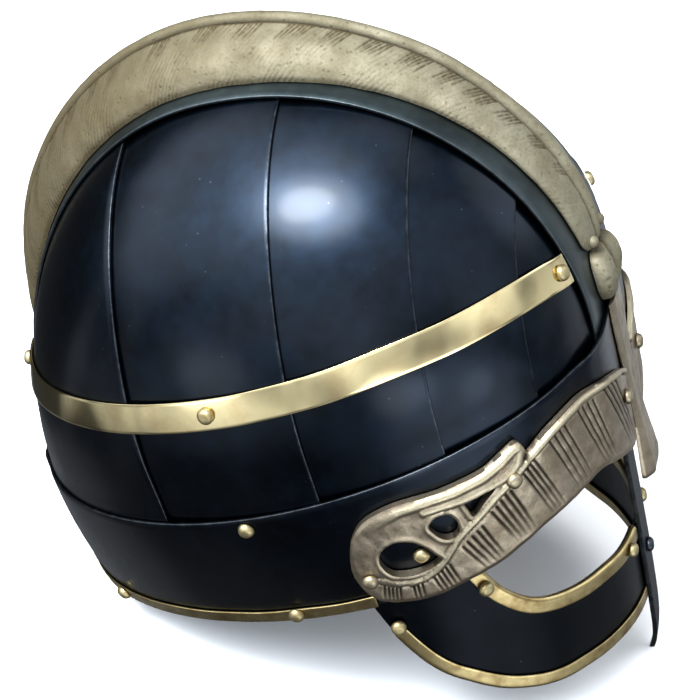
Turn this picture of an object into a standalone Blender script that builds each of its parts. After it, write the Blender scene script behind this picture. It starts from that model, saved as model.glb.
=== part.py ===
"""Crested steel helmet with cast brows, a nasal bar and crescent guards under the eyes.

Sizes are in millimetres. Each piece is worked out in the head's own frame: Z = 0 is about level with
the rim, the face looks along -Y and the wearer's right is -X. The whole helmet is then tipped back
onto what it rests on, the tip of the nasal bar and the nape of the rim.
"""
import math

import bmesh
import bpy
from mathutils import Matrix, Vector

MM = 0.001

# Skull, measured to the outer face of the skull plates
CROWN_HEIGHT = 186.5
HALF_BREADTH = 95.0
FRONT_REACH = 115.0
REAR_REACH = 120.0
SIDE_BULGE = 76.0
FRONT_BULGE = 80.0
REAR_BULGE = 48.0
SIDE_TUCK = 6.7
FRONT_TUCK = 1.5
REAR_TUCK = 3.6
SIDE_SHOULDER = 1.8
FRONT_SHOULDER = 2.15
REAR_SHOULDER = 1.76
CROWN_ROUNDNESS = 2.0
BROW_PLAN_ROUNDNESS = 2.0
BROW_FLAT = 0.2
BACK_PLAN_ROUNDNESS = 2.24
NAPE_PLAN_ROUNDNESS = 1.9
NAPE_FLAT = 0.246

# Sheet metal and the clearance between pieces that seat on each other
PLATE = 1.2
FIT = 0.35
CAST_FIT = 0.5
STRAP_PASS = 0.85
TRIM_SHEET = 0.8
TRIM_DEPTH = 6.5
BAND_SHEET = 1.0
BAND_WIDTH = 11.0
LAP = 6.0

# Strap over the crown
STRAP_HALF_WIDTH = 25.0
STRAP_SPREAD = 1.12
STRAP_REAR_END = 1.0
STRAP_FRONT_END = 19.5
PLATE_TUCK = 8.0
EYE_LINE = 60.0
STRAP_MIDDLE = 5.0

# Brow band and the arches over the eyes
BROW_BAND_HEIGHT = 55.0
BROW_BAND_RISE = 15.0
BROW_BAND_CURVE = 6.0
RIM_HEIGHT = 1.6
RIM_RISE = 13.5
EYE_ARCH_HEIGHT = 17.5

# Brass side band
SIDE_BAND_HEIGHT = 98.6
SIDE_BAND_END_GAP = 1.5

# Crest
CREST_HALF_WIDTH = 20.0
CREST_HEIGHT = 20.0
CREST_REAR_ANGLE = 2.0
CREST_FRONT_ANGLE = 161.5
CREST_HEAD_LENGTH = 20.5
CREST_HEAD_HALF_WIDTH = 14.0
CREST_HEAD_HEIGHT = 5.6
CREST_EYE_RADIUS = 2.2
CREST_EYE_PLACE = 8.5
CREST_EYE_RISE = 2.6
CREST_EYE_SETBACK = 1.5

# Nose
NASAL_BOTTOM_HEIGHT = -2.0
NASAL_HALF_WIDTH = 12.5
NASAL_THICKNESS = 5.0
BAR_HALF_WIDTH = 6.3
BAR_SHEET = 2.0
BAR_TIP_HEIGHT = -101.0
BAR_TOP_HEIGHT = 50.0
BAR_SET_BACK = 7.5
BAR_RIVET_HEIGHT = -44.0

# Eyebrows
EYEBROW_SPAN = 73.0
EYEBROW_HEIGHT = 64.5
EYEBROW_THICKNESS = 3.4

# Guards under the eyes
GUARD_HALF_BREADTH = 86.5
GUARD_DROP = 65.0
GUARD_NOSE_GAP = 1.5
GUARD_WRAP = (44.0, 64.0)

# Rivets
RIVET_RADIUS = 3.1
RIVET_RISE = 2.4

RIGHT = -1
LEFT = 1
SIDES = (("right", RIGHT), ("left", LEFT))

# Height of the side band at shares of the reach from nape (-1) to brow (1), as shares of its height
SIDE_BAND_LINE = ((-1.0, 0.930), (-0.6, 0.957), (-0.29, 0.976), (0.0, 1.0), (0.15, 1.020), (0.3, 1.040),
                  (0.5, 1.074), (0.64, 1.090), (0.81, 1.107), (0.90, 1.099), (0.95, 1.072), (1.0, 1.045))

# Lower edge of the brow band over the eye: degrees from the nose, share of the arch height
EYE_ARCH = ((0, 0.47), (8, 0.50), (14, 0.68), (21, 1.0), (27, 0.94), (32, 0.83), (36, 0.70), (41, 0.51),
            (46, 0.37), (52, 0.25), (58, 0.15), (64, 0.06), (67, 0.0), (180, 0.0))

# Fore and aft seams between skull plates, as shares of the reach (rear positive)
SEAMS = (0.325, -0.21, -0.60, -0.862)

# Strap: degrees over the crown from the nape, share of the spread toward both ends
STRAP_LINE = ((-40, 0.0), (0, 0.5), (60, 0.5), (90, 0.0), (104, -0.15), (120, 0.1), (140, 0.7), (156, 1.0),
              (170, 0.3), (206, 0.0))

# Crest: share of its length from the rear, share of half width, share of height
CREST_STATIONS = ((0.000, 0.28, 0.200), (0.032, 0.40, 0.320), (0.083, 0.58, 0.520),
                  (0.166, 0.80, 0.740), (0.249, 0.94, 0.910), (0.319, 1.00, 0.970),
                  (0.396, 1.00, 1.000), (0.473, 0.99, 1.000), (0.562, 0.96, 0.965),
                  (0.639, 0.92, 0.905), (0.703, 0.88, 0.825), (0.767, 0.84, 0.755),
                  (0.831, 0.81, 0.635), (0.895, 0.79, 0.540), (0.958, 0.75, 0.430),
                  (0.984, 0.71, 0.350), (1.000, 0.66, 0.300))

# Crest section: share of half width, share of height, from the seat up to the ridge
CREST_SECTION = ((1.0, 0.0), (1.0, 0.12), (0.86, 0.38), (0.62, 0.60), (0.34, 0.79), (0.15, 0.90),
                 (0.12, 0.98))

# Crest head: share of its length from the crest, share of half width, share of height
HEAD_STATIONS = ((0.0, 0.74, 0.60), (0.08, 0.86, 0.80), (0.22, 0.97, 0.98), (0.42, 1.0, 1.05),
                 (0.62, 0.98, 1.04), (0.80, 0.88, 0.92), (0.93, 0.70, 0.74), (1.0, 0.50, 0.48))

# Crest head section: share of half width, share of height, from one lobe over the ridge to the other
HEAD_SECTION = ((-1.0, 0.30), (-0.93, 0.86), (-0.62, 1.0), (-0.30, 0.94), (-0.14, 0.60), (0.0, 0.80),
                (0.14, 0.60), (0.30, 0.94), (0.62, 1.0), (0.93, 0.86), (1.0, 0.30))

# Nasal casting: share of its length from the top, share of half width, share of thickness
NASAL_STATIONS = ((0.0, 0.86, 0.34), (0.10, 0.86, 0.38), (0.26, 0.76, 0.38), (0.42, 0.66, 0.40),
                  (0.58, 0.64, 0.48), (0.72, 0.70, 0.64), (0.86, 0.88, 0.86), (0.95, 1.0, 0.96),
                  (1.0, 0.97, 0.88))

# Nasal bar: share of the way from its top to its tip, share of half width, share of the set-back
BAR_STATIONS = ((0.0, 1.0, 0.0), (0.185, 1.0, 0.0), (0.385, 1.0, 0.02), (0.615, 1.02, 0.10),
                (0.795, 1.04, 0.22), (0.887, 0.86, 0.34), (0.947, 0.56, 0.54), (0.98, 0.33, 0.74),
                (1.0, 0.12, 0.90))

# Eyebrow edges: share of the span from the nose, share of the height above the rim
EYEBROW_TOP = ((0.066, 0.775), (0.159, 0.905), (0.249, 0.986), (0.318, 1.003),
               (0.37, 0.983), (0.418, 0.949), (0.455, 0.909), (0.480, 0.873), (0.488, 0.896),
               (0.495, 0.946), (0.504, 0.972), (0.515, 0.971), (0.531, 0.955), (0.551, 0.933),
               (0.595, 0.886), (0.648, 0.864),
               (0.726, 0.843), (0.802, 0.840), (0.855, 0.825), (0.913, 0.784), (0.946, 0.732),
               (0.977, 0.636), (0.992, 0.543), (1.0, 0.457))
EYEBROW_BOTTOM = ((0.066, 0.262), (0.11, 0.288), (0.18, 0.366), (0.245, 0.434), (0.285, 0.456),
                  (0.325, 0.440), (0.366, 0.420), (0.435, 0.383), (0.499, 0.335), (0.56, 0.274),
                  (0.604, 0.233), (0.647, 0.205), (0.681, 0.186), (0.727, 0.158), (0.768, 0.136),
                  (0.819, 0.124), (0.875, 0.130), (0.917, 0.146), (0.957, 0.189), (0.985, 0.273),
                  (1.0, 0.380))
EYEBROW_STATIONS = (0.066, 0.09, 0.12, 0.16, 0.2, 0.25, 0.3, 0.35, 0.4, 0.44, 0.479, 0.495, 0.512, 0.55,
                    0.592, 0.64, 0.69, 0.74, 0.79, 0.84, 0.89, 0.93, 0.965, 0.988, 1.0)

# Eyebrow's body: share of the span from the nose, share of thickness
EYEBROW_BODY = ((0.0, 0.45), (0.25, 0.55), (0.45, 0.9), (0.6, 1.0), (1.0, 1.0))

# Eyebrow section: share of the way up, share of thickness
EYEBROW_SECTION = ((0.0, 0.75), (0.12, 1.0), (0.76, 0.90), (0.88, 1.25), (1.0, 0.85))

# Openwork of the eyebrow's head: outlines in shares of the span and of the height
EYEBROW_HOLES = {
    "triangle": ((0.659, 0.735), (0.578, 0.764), (0.64, 0.620)),
    "round": ((0.757, 0.651), (0.737, 0.701), (0.709, 0.698), (0.688, 0.631), (0.687, 0.558),
              (0.712, 0.521), (0.746, 0.550)),
    "teardrop": ((0.917, 0.457), (0.896, 0.563), (0.854, 0.602), (0.809, 0.577), (0.774, 0.505),
                 (0.752, 0.406), (0.792, 0.371), (0.841, 0.341), (0.887, 0.344), (0.912, 0.388)),
}

# Guard edges: degrees from the nose, share of the drop below the rim
GUARD_BOTTOM = ((1, 1.009), (9.6, 1.006), (15.4, 0.997), (22.6, 0.985), (28.5, 0.969), (33.9, 0.958),
                (38.8, 0.928), (43.4, 0.880), (47.7, 0.822), (51.8, 0.743), (55.8, 0.654),
                (59.7, 0.566), (63.3, 0.458), (66.6, 0.320), (69.8, 0.157), (71.6, 0.031), (73, -0.077))
GUARD_TOP = ((1, 0.440), (11.5, 0.437), (18.4, 0.411), (25.4, 0.391), (33.5, 0.337), (38.2, 0.265),
             (43.2, 0.112), (46.1, -0.037), (48.2, -0.177), (50, -0.308), (60, -0.331), (73, -0.308))
GUARD_TRIM_ENDS = {"lower": 69.0, "upper": 47.6}


def blend(a, b, share):
    """The value a share of the way from a to b."""
    return a + (b - a) * share


def follow(table, at, column=1):
    """Read a smooth curve through a table's rows at a place along its first column."""
    rows = list(table)
    if at <= rows[0][0]:
        return rows[0][column]
    if at >= rows[-1][0]:
        return rows[-1][column]
    index = max(i for i in range(len(rows) - 1) if rows[i][0] <= at)
    before, after = rows[index], rows[index + 1]
    step = after[0] - before[0]

    def slope(k):
        low, high = rows[max(k - 1, 0)], rows[min(k + 1, len(rows) - 1)]
        return (high[column] - low[column]) / (high[0] - low[0])

    t = (at - before[0]) / step
    first, second = slope(index) * step, slope(index + 1) * step
    return ((2 * t ** 3 - 3 * t ** 2 + 1) * before[column] + (t ** 3 - 2 * t ** 2 + t) * first
            + (3 * t ** 2 - 2 * t ** 3) * after[column] + (t ** 3 - t ** 2) * second)


def spaced(start, end, count):
    """Evenly spaced values from start to end."""
    return [blend(start, end, i / (count - 1)) for i in range(count)]


def reach_at(height, reach, bulge, tuck, shoulder):
    """How far the skull reaches out from its middle at a height, on one of its sides."""
    if height <= bulge:
        return reach - tuck * ((bulge - height) / bulge) ** 2
    rise = min((height - bulge) / (CROWN_HEIGHT - bulge), 1.0)
    return reach * (1.0 - rise ** shoulder) ** (1.0 / CROWN_ROUNDNESS)


def gauge(point):
    """Negative inside the skull, zero on it and positive outside."""
    if point.z >= CROWN_HEIGHT:
        return 1.0
    half = max(reach_at(point.z, HALF_BREADTH, SIDE_BULGE, SIDE_TUCK, SIDE_SHOULDER), 1e-6)
    front = reach_at(point.z, FRONT_REACH, FRONT_BULGE, FRONT_TUCK, FRONT_SHOULDER)
    rear = reach_at(point.z, REAR_REACH, REAR_BULGE, REAR_TUCK, REAR_SHOULDER)
    reach = max((front + rear) / 2, 1e-6)
    along = (point.y - (rear - front) / 2) / reach
    across = abs(point.x) / half
    flat, power = BROW_FLAT, BROW_PLAN_ROUNDNESS
    if along > 0:
        fade = max(0.0, 1.0 - (max(point.z, 0.0) / SIDE_BULGE) ** 2)
        flat, power = NAPE_FLAT * fade, blend(BACK_PLAN_ROUNDNESS, NAPE_PLAN_ROUNDNESS, fade)
    across = max(0.0, across - flat) / (1.0 - flat)
    return across ** power + abs(along) ** power - 1.0


def normal_at(point):
    """Outward direction of the skull at a point on it."""
    probe = 0.05
    slopes = []
    for axis in (Vector((probe, 0, 0)), Vector((0, probe, 0)), Vector((0, 0, probe))):
        slopes.append(gauge(point + axis) - gauge(point - axis))
    return Vector(slopes).normalized()


def cast(origin, direction, lift=0.0):
    """Where a ray from inside the skull meets it, raised along the skull's normal."""
    origin, direction = Vector(origin), Vector(direction).normalized()
    near, far = 0.0, 2.0 * REAR_REACH + CROWN_HEIGHT
    for _ in range(40):
        middle = (near + far) / 2
        if gauge(origin + direction * middle) < 0:
            near = middle
        else:
            far = middle
    point = origin + direction * near
    return point + normal_at(point) * lift


def around(angle, height, lift=0.0):
    """A point of the skull at a plan angle: 0 at the wearer's right, 90 at the nape, -90 at the brow."""
    turn = math.radians(angle)
    return cast((0, 0, height), (-math.cos(turn), math.sin(turn), 0), lift)


def over_crown(angle, across, lift=0.0):
    """A point of the skull at an angle over the crown, from nape to brow, and a distance off the middle."""
    turn = math.radians(angle)
    return cast((across, STRAP_MIDDLE, EYE_LINE), (0, math.cos(turn), math.sin(turn)), lift)


def share_forward(point):
    """How far forward a point lies: -1 at the nape, 1 at the brow."""
    return -point.y / ((FRONT_REACH + REAR_REACH) / 2)


def brow_band_top(point):
    """Height of the brow band's upper edge beside a point."""
    forward = share_forward(point)
    return BROW_BAND_HEIGHT + BROW_BAND_RISE * forward + BROW_BAND_CURVE * forward ** 2


def rim_line(angle):
    """Height of the rim trim's lower edge at a plan angle, rising from the nape to the brow."""
    height = RIM_HEIGHT
    for _ in range(3):
        height = RIM_HEIGHT + RIM_RISE * share_forward(around(angle, height))
    return height


def brow_band_bottom(angle):
    """Height of the brow band's lower edge at a plan angle, with the arches over the eyes."""
    from_nose = abs(angle + 90)
    from_nose = min(from_nose, 360 - from_nose)
    return rim_line(angle) + FIT + TRIM_SHEET + EYE_ARCH_HEIGHT * follow(EYE_ARCH, from_nose)


def side_band_middle(point):
    """Height of the middle of the side band beside a point."""
    return SIDE_BAND_HEIGHT * follow(SIDE_BAND_LINE, share_forward(point))


def at_height(angle, height_rule):
    """Height that a rule gives at a plan angle, once the point there is settled."""
    height = BROW_BAND_HEIGHT
    for _ in range(3):
        height = height_rule(around(angle, height))
    return height


def ease(share):
    """A smooth step from 0 to 1."""
    share = min(max(share, 0.0), 1.0)
    return share * share * (3 - 2 * share)


def band_seat(point):
    """Lift of the brow band's inner face: it passes over the strap and lies on the plates elsewhere."""
    beyond = (abs(point.x) - STRAP_HALF_WIDTH * STRAP_SPREAD - LAP) / (2 * LAP)
    return blend(FIT + PLATE + STRAP_PASS, CAST_FIT, ease(beyond))


def lifted(angle, height, extra=0.0):
    """A point on the inner face of the brow band, raised by a further amount."""
    base = around(angle, height)
    return base + normal_at(base) * (band_seat(base) + extra)


FINISHES = {
    "blackened_steel": ((0.012, 0.014, 0.020), 0.32, 0.9),
    "polished_brass": ((0.56, 0.44, 0.20), 0.14, 1.0),
    "trim_brass": ((0.50, 0.38, 0.17), 0.28, 1.0),
    "cast_brass": ((0.42, 0.34, 0.20), 0.42, 1.0),
    "cast_bronze": ((0.30, 0.24, 0.17), 0.46, 1.0),
}


def finish(name):
    """The Principled material of a finish, made once."""
    material = bpy.data.materials.get(name)
    if material is None:
        colour, roughness, metallic = FINISHES[name]
        material = bpy.data.materials.new(name)
        material.use_nodes = True
        shader = material.node_tree.nodes["Principled BSDF"]
        shader.inputs["Base Color"].default_value = (*colour, 1.0)
        shader.inputs["Roughness"].default_value = roughness
        shader.inputs["Metallic"].default_value = metallic
        material.diffuse_color = (*colour, 1.0)
    return material


def add_piece(name, points, faces, material, crease=35.0):
    """Make one closed object from points in millimetres and add it to the helmet."""
    mesh = bpy.data.meshes.new(name)
    build = bmesh.new()
    corners = [build.verts.new(Vector(point) * MM) for point in points]
    for face in faces:
        build.faces.new([corners[i] for i in face])
    bmesh.ops.recalc_face_normals(build, faces=build.faces)
    build.to_mesh(mesh)
    build.free()
    mesh.materials.append(finish(material))
    mesh.shade_smooth()
    mesh.set_sharp_from_angle(angle=math.radians(crease))
    piece = bpy.data.objects.new(name, mesh)
    bpy.context.scene.collection.objects.link(piece)
    return piece


def shell_mesh(outer, inner, ring=False):
    """Points and faces of a sheet between an outer and an inner grid of points."""
    rows, columns = len(outer), len(outer[0])
    points = [point for row in outer for point in row] + [point for row in inner for point in row]
    offset = rows * columns

    def at(i, j, side=0):
        return side * offset + (i % rows) * columns + j

    faces = []
    spans = rows if ring else rows - 1
    for i in range(spans):
        for j in range(columns - 1):
            faces.append((at(i, j), at(i + 1, j), at(i + 1, j + 1), at(i, j + 1)))
            faces.append((at(i, j, 1), at(i, j + 1, 1), at(i + 1, j + 1, 1), at(i + 1, j, 1)))
        for j in (0, columns - 1):
            faces.append((at(i, j), at(i + 1, j), at(i + 1, j, 1), at(i, j, 1)))
    if not ring:
        for i in (0, rows - 1):
            for j in range(columns - 1):
                faces.append((at(i, j), at(i, j + 1), at(i, j + 1, 1), at(i, j, 1)))
    return points, faces


def loft_mesh(rings):
    """Points and faces of a solid through closed rings of points, with flat ends."""
    count = len(rings[0])
    points = [point for ring in rings for point in ring]
    faces = [tuple(range(count)), tuple(range(len(points) - count, len(points)))]
    for i in range(len(rings) - 1):
        for j in range(count):
            k = (j + 1) % count
            faces.append((i * count + j, i * count + k, (i + 1) * count + k, (i + 1) * count + j))
    return points, faces


def mirrored(points, side):
    """Points made on the wearer's right, given for one side."""
    return [Vector((point[0] * -side, point[1], point[2])) for point in points]


def add_pair(name, mesh, material, crease=35.0):
    """Add a piece made on the wearer's right and its mirror image."""
    points, faces = mesh
    for label, side in SIDES:
        add_piece(f"{name}_{label}", mirrored(points, side), faces, material, crease)


def make_strap():
    """Strap from the nape over the crown to the brow, curved across to lie on the plates."""
    rear_drop = EYE_LINE - STRAP_REAR_END
    rear = math.degrees(math.atan2(rear_drop, REAR_REACH - REAR_TUCK - STRAP_MIDDLE))
    front_drop = EYE_LINE - STRAP_FRONT_END
    front = 180 + math.degrees(math.atan2(front_drop, FRONT_REACH + STRAP_MIDDLE))
    across = (-1.0, -0.78, -0.4, 0.0, 0.4, 0.78, 1.0)
    outer, inner = [], []
    for angle in spaced(-rear, front, 41):
        half = STRAP_HALF_WIDTH * blend(1.0, STRAP_SPREAD, follow(STRAP_LINE, angle))
        places = [share * half for share in across]
        inner.append([over_crown(angle, place, FIT) for place in places])
        outer.append([over_crown(angle, place, FIT + PLATE) for place in places])
    add_piece("nose_to_nape_strap", *shell_mesh(outer, inner), "blackened_steel")


def ring_angles(count):
    """Plan angles right round the skull with a flat facet at the nape, none of them doubled."""
    flat = math.degrees(math.atan2(NAPE_FLAT * (HALF_BREADTH - SIDE_TUCK) * 0.96, REAR_REACH - REAR_TUCK))
    half = spaced(-90.0, 90.0 - flat, count // 2 + 1)
    return half + [180.0 - angle for angle in reversed(half[1:])]


def make_brow_band():
    """Brow band right round the skull, arched over the eyes."""
    outer, inner = [], []
    for angle in ring_angles(60):
        low = brow_band_bottom(angle)
        high = at_height(angle, brow_band_top)
        heights = spaced(low, high, 4)
        inner.append([lifted(angle, height) for height in heights])
        outer.append([lifted(angle, height, PLATE) for height in heights])
    add_piece("brow_band", *shell_mesh(outer, inner, ring=True), "blackened_steel")


def plate_line(origin_y, turn, low_limit, half_gap):
    """Start and end angles of a plate's line, from under the brow band up to under the strap."""
    def point_at(rise):
        direction = (-math.cos(rise) * math.cos(turn), math.sin(turn), math.sin(rise) * math.cos(turn))
        return cast((0, origin_y, EYE_LINE), direction)

    low, high = -1.2, 1.5
    for _ in range(22):
        middle = (low + high) / 2
        point = point_at(middle)
        if point.z < brow_band_top(point) - low_limit:
            low = middle
        else:
            high = middle
    start = low
    low, high = start, 1.5707
    for _ in range(22):
        middle = (low + high) / 2
        if abs(point_at(middle).x) > half_gap:
            low = middle
        else:
            high = middle
    return start, low


def make_plates():
    """Five skull plates a side, each one's front edge lapped over the next plate."""
    step = PLATE + 2 * FIT
    seam_places = [share * (REAR_REACH if share > 0 else FRONT_REACH) for share in SEAMS]
    under_strap = STRAP_HALF_WIDTH - LAP
    rows = 9
    plates = [[(seam_places[0], turn) for turn in spaced(math.radians(73), 0.0, 9)]]
    for rear, front, count in zip(seam_places, seam_places[1:], (7, 6, 5)):
        plates.append([(rear + LAP, 0.0)] + [(place, 0.0) for place in spaced(rear, front, count)])
    brow_turns = spaced(0.0, -math.radians(36), 5)
    plates.append([(seam_places[-1] + LAP, 0.0)] + [(seam_places[-1], turn) for turn in brow_turns])
    for number, lines in enumerate(plates, start=1):
        outer, inner = [], []
        for index, (origin_y, turn) in enumerate(lines):
            share = max(0, index - 1) / (len(lines) - 2)
            sink = 0.0 if number == 1 else -step * (1.0 - share)
            start, end = plate_line(origin_y, turn, PLATE_TUCK, under_strap)
            outer_row, inner_row = [], []
            for rise in spaced(start, end, rows):
                direction = (-math.cos(rise) * math.cos(turn), math.sin(turn),
                             math.sin(rise) * math.cos(turn))
                base = cast((0, origin_y, EYE_LINE), direction)
                normal = normal_at(base)
                outer_row.append(base + normal * sink)
                inner_row.append(base + normal * (sink - PLATE))
            outer.append(outer_row)
            inner.append(inner_row)
        add_pair(f"skull_plate_{number}", shell_mesh(outer, inner), "blackened_steel")


def make_side_bands():
    """Polished band along each side, from strap edge to strap edge."""
    clear = STRAP_HALF_WIDTH * STRAP_SPREAD + SIDE_BAND_END_GAP
    front = -90 + math.degrees(math.atan2(clear, FRONT_REACH * 0.97))
    rear = 90 - math.degrees(math.atan2(clear, REAR_REACH * 0.88))
    outer, inner = [], []
    for angle in spaced(front, rear, 32):
        middle = at_height(angle, side_band_middle)
        heights = (middle - BAND_WIDTH / 2, middle + BAND_WIDTH / 2)
        inner.append([around(angle, height, FIT) for height in heights])
        outer.append([around(angle, height, FIT + BAND_SHEET) for height in heights])
    add_pair("side_band", shell_mesh(outer, inner), "polished_brass")


def folded_section(place):
    """Corners of a trim folded over a sheet's edge; place gives a point from depth and lift."""
    near = PLATE / 2 + FIT
    far = near + TRIM_SHEET
    lip = -FIT - TRIM_SHEET
    steps = ((TRIM_DEPTH + lip, far), (lip, far), (lip, -far), (TRIM_DEPTH + lip, -far),
             (TRIM_DEPTH + lip, -near), (-FIT, -near), (-FIT, near), (TRIM_DEPTH + lip, near))
    return [place(depth, lift) for depth, lift in steps]


def make_rim_trim():
    """Folded brass trim along the lower edge of the brow band, from eyebrow to eyebrow."""
    start = EYEBROW_SPAN * 0.965 - 90
    rings = []
    between = [angle for angle in ring_angles(60) if start + 1 < angle < 179 - start]
    for angle in [start] + between + [180 - start]:
        edge = brow_band_bottom(angle)

        def place(depth, lift):
            return lifted(angle, edge + depth, PLATE / 2 + lift)

        rings.append(folded_section(place))
    add_piece("rim_trim", *loft_mesh(rings), "trim_brass")


def crest_seat(angle, across):
    """A point on the strap's outer face with the crest's clearance above it."""
    return over_crown(angle, across, FIT + PLATE + CAST_FIT)


def crown_frame(angle):
    """Middle of the strap and the upward direction there."""
    base = over_crown(angle, 0.0)
    normal = normal_at(base)
    return base, Vector((0, normal.y, normal.z)).normalized()


def make_crest():
    """Cast crest along the strap, slimmer toward both ends, with a beast's two eyes at its front end."""
    rings = []
    for angle in spaced(CREST_REAR_ANGLE, CREST_FRONT_ANGLE, 29):
        share = (angle - CREST_REAR_ANGLE) / (CREST_FRONT_ANGLE - CREST_REAR_ANGLE)
        half = CREST_HALF_WIDTH * follow(CREST_STATIONS, share, 1)
        height = CREST_HEIGHT * follow(CREST_STATIONS, share, 2)
        base, up = crown_frame(angle)
        ring = []
        for across, rise in CREST_SECTION:
            edge = crest_seat(angle, -half)
            foot = Vector((-half * across, edge.y, edge.z))
            peak = base + up * height
            ring.append(Vector((foot.x, blend(foot.y, peak.y, rise), blend(foot.z, peak.z, rise))))
        top = base + up * height * 1.01
        ring.append(Vector((0, top.y, top.z)))
        ring += [Vector((-point.x, point.y, point.z)) for point in reversed(ring[:-1])]
        seat = [crest_seat(angle, place) for place in (half * 0.5, 0.0, -half * 0.5)]
        rings.append(ring + seat)
    crest = add_piece("crest", *loft_mesh(rings), "cast_brass")
    angle = CREST_FRONT_ANGLE - CREST_EYE_SETBACK
    _, up = crown_frame(angle)
    for label, side in SIDES:
        centre = crest_seat(angle, CREST_EYE_PLACE * side) + up * CREST_EYE_RISE
        points, faces = ball_mesh(CREST_EYE_RADIUS)
        ball = add_piece(f"eye_{label}", [centre + point for point in points], faces, "cast_brass")
        ball.hide_render = True
        ball.display_type = "WIRE"
        join = crest.modifiers.new(f"eye_{label}", "BOOLEAN")
        join.operation = "UNION"
        join.object = ball


def crest_end():
    """Height at which the crest ends and its head begins."""
    return over_crown(CREST_FRONT_ANGLE, 0.0).z - CAST_FIT


def make_crest_head():
    """Beast's muzzle below the crest's eyes: two egg-shaped lobes beside a ridge."""
    seat_lift = FIT + PLATE + CAST_FIT
    rings = []
    for share, width, height in HEAD_STATIONS:
        level = crest_end() - CREST_HEAD_LENGTH * share
        half = CREST_HEAD_HALF_WIDTH * width
        ring = []
        for across, rise in HEAD_SECTION:
            seat = cast((half * across, 0, level), (0, -1, 0)).y - seat_lift
            ring.append(Vector((half * across, seat - CREST_HEAD_HEIGHT * height * rise, level)))
        seat = around(-90, level).y - seat_lift
        rings.append(ring + [Vector((half * 0.96, seat, level)), Vector((-half * 0.96, seat, level))])
    add_piece("crest_head", *loft_mesh(rings), "cast_brass", 45.0)


def ball_mesh(radius):
    """Points and faces of a small ball round the origin."""
    sides = 8
    points, faces = [Vector((0, 0, -radius)), Vector((0, 0, radius))], []
    for climb in (-45, 0, 45):
        lift = math.radians(climb)
        for k in range(sides):
            turn = math.tau * k / sides
            points.append(Vector((math.cos(lift) * math.cos(turn), math.cos(lift) * math.sin(turn),
                                  math.sin(lift))) * radius)
    for k in range(sides):
        n = (k + 1) % sides
        faces.append((0, 2 + n, 2 + k))
        faces.append((1, 2 + 2 * sides + k, 2 + 2 * sides + n))
        for ring in (0, 1):
            low = 2 + ring * sides
            faces.append((low + k, low + n, low + sides + n, low + sides + k))
    return points, faces


def make_nasal_casting():
    """Ridged casting down the nose, flared at its lower end."""
    top = crest_end() - CREST_HEAD_LENGTH - CAST_FIT
    profile = ((-1.0, 0.30), (-0.62, 0.86), (0.0, 1.0), (0.62, 0.86), (1.0, 0.30))
    rings = []
    for share in spaced(0.0, 1.0, 14):
        level = blend(top, NASAL_BOTTOM_HEIGHT, share)
        half = NASAL_HALF_WIDTH * follow(NASAL_STATIONS, share, 1)
        thick = NASAL_THICKNESS * follow(NASAL_STATIONS, share, 2)
        seat = around(-90, max(level, EYE_LINE)).y - FIT - 2 * PLATE - STRAP_PASS - CAST_FIT
        ring = [Vector((half * across, seat - thick * rise, level)) for across, rise in profile]
        rings.append(ring + [Vector((half, seat, level)), Vector((-half, seat, level))])
    add_piece("nasal_casting", *loft_mesh(rings), "cast_bronze")


def bar_front(level):
    """Y of the nasal bar's outer face at a height."""
    share = (level - BAR_TOP_HEIGHT) / (BAR_TIP_HEIGHT - BAR_TOP_HEIGHT)
    seat = around(-90, max(level, EYE_ARCH_HEIGHT)).y + FIT
    return seat + BAR_SET_BACK * follow(BAR_STATIONS, share, 2)


def make_nasal_bar():
    """Flat bar from behind the brow band down to its leaf-shaped tip."""
    rings = []
    for share, width, _ in BAR_STATIONS:
        level = blend(BAR_TOP_HEIGHT, BAR_TIP_HEIGHT, share)
        half = BAR_HALF_WIDTH * width
        face = bar_front(level)
        back = face + BAR_SHEET
        rings.append([Vector((-half, face, level)), Vector((half, face, level)),
                      Vector((half, back, level)), Vector((-half, back, level))])
    add_piece("nasal_bar", *loft_mesh(rings), "blackened_steel")


def eyebrow_point(share, height, extra):
    """A point on the brow band's outer face at a share of the eyebrow's span, raised by an amount."""
    angle = EYEBROW_SPAN * share - 90
    return lifted(angle, height, PLATE + CAST_FIT + extra)


def eyebrow_body(share):
    """Thickness of the eyebrow's body at a share of its span."""
    return EYEBROW_THICKNESS * follow(EYEBROW_BODY, share)


def make_eyebrows():
    """Cast eyebrow from the nasal out to its pierced beast head, lying on the brow band."""
    outer, inner = [], []
    for share in EYEBROW_STATIONS:
        low = EYEBROW_HEIGHT * follow(EYEBROW_BOTTOM, share)
        high = EYEBROW_HEIGHT * follow(EYEBROW_TOP, share)
        outer.append([eyebrow_point(share, blend(low, high, up), eyebrow_body(share) * thick)
                      for up, thick in EYEBROW_SECTION])
        inner.append([eyebrow_point(share, blend(low, high, up), 0.0) for up, _ in EYEBROW_SECTION])
    points, faces = shell_mesh(outer, inner)
    for label, side in SIDES:
        eyebrow = add_piece(f"eyebrow_{label}", mirrored(points, side), faces, "cast_bronze", 40.0)
        for hole, outline in EYEBROW_HOLES.items():
            depths = (-4.0, EYEBROW_THICKNESS * 3)
            rings = [[eyebrow_point(share, EYEBROW_HEIGHT * up, depth) for share, up in outline]
                     for depth in depths]
            cut_points, cut_faces = loft_mesh(rings)
            cutter = add_piece(f"cut_{hole}_{label}", mirrored(cut_points, side), cut_faces, "cast_bronze")
            cutter.hide_render = True
            cutter.display_type = "WIRE"
            cut = eyebrow.modifiers.new(hole, "BOOLEAN")
            cut.operation = "DIFFERENCE"
            cut.object = cutter


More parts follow.
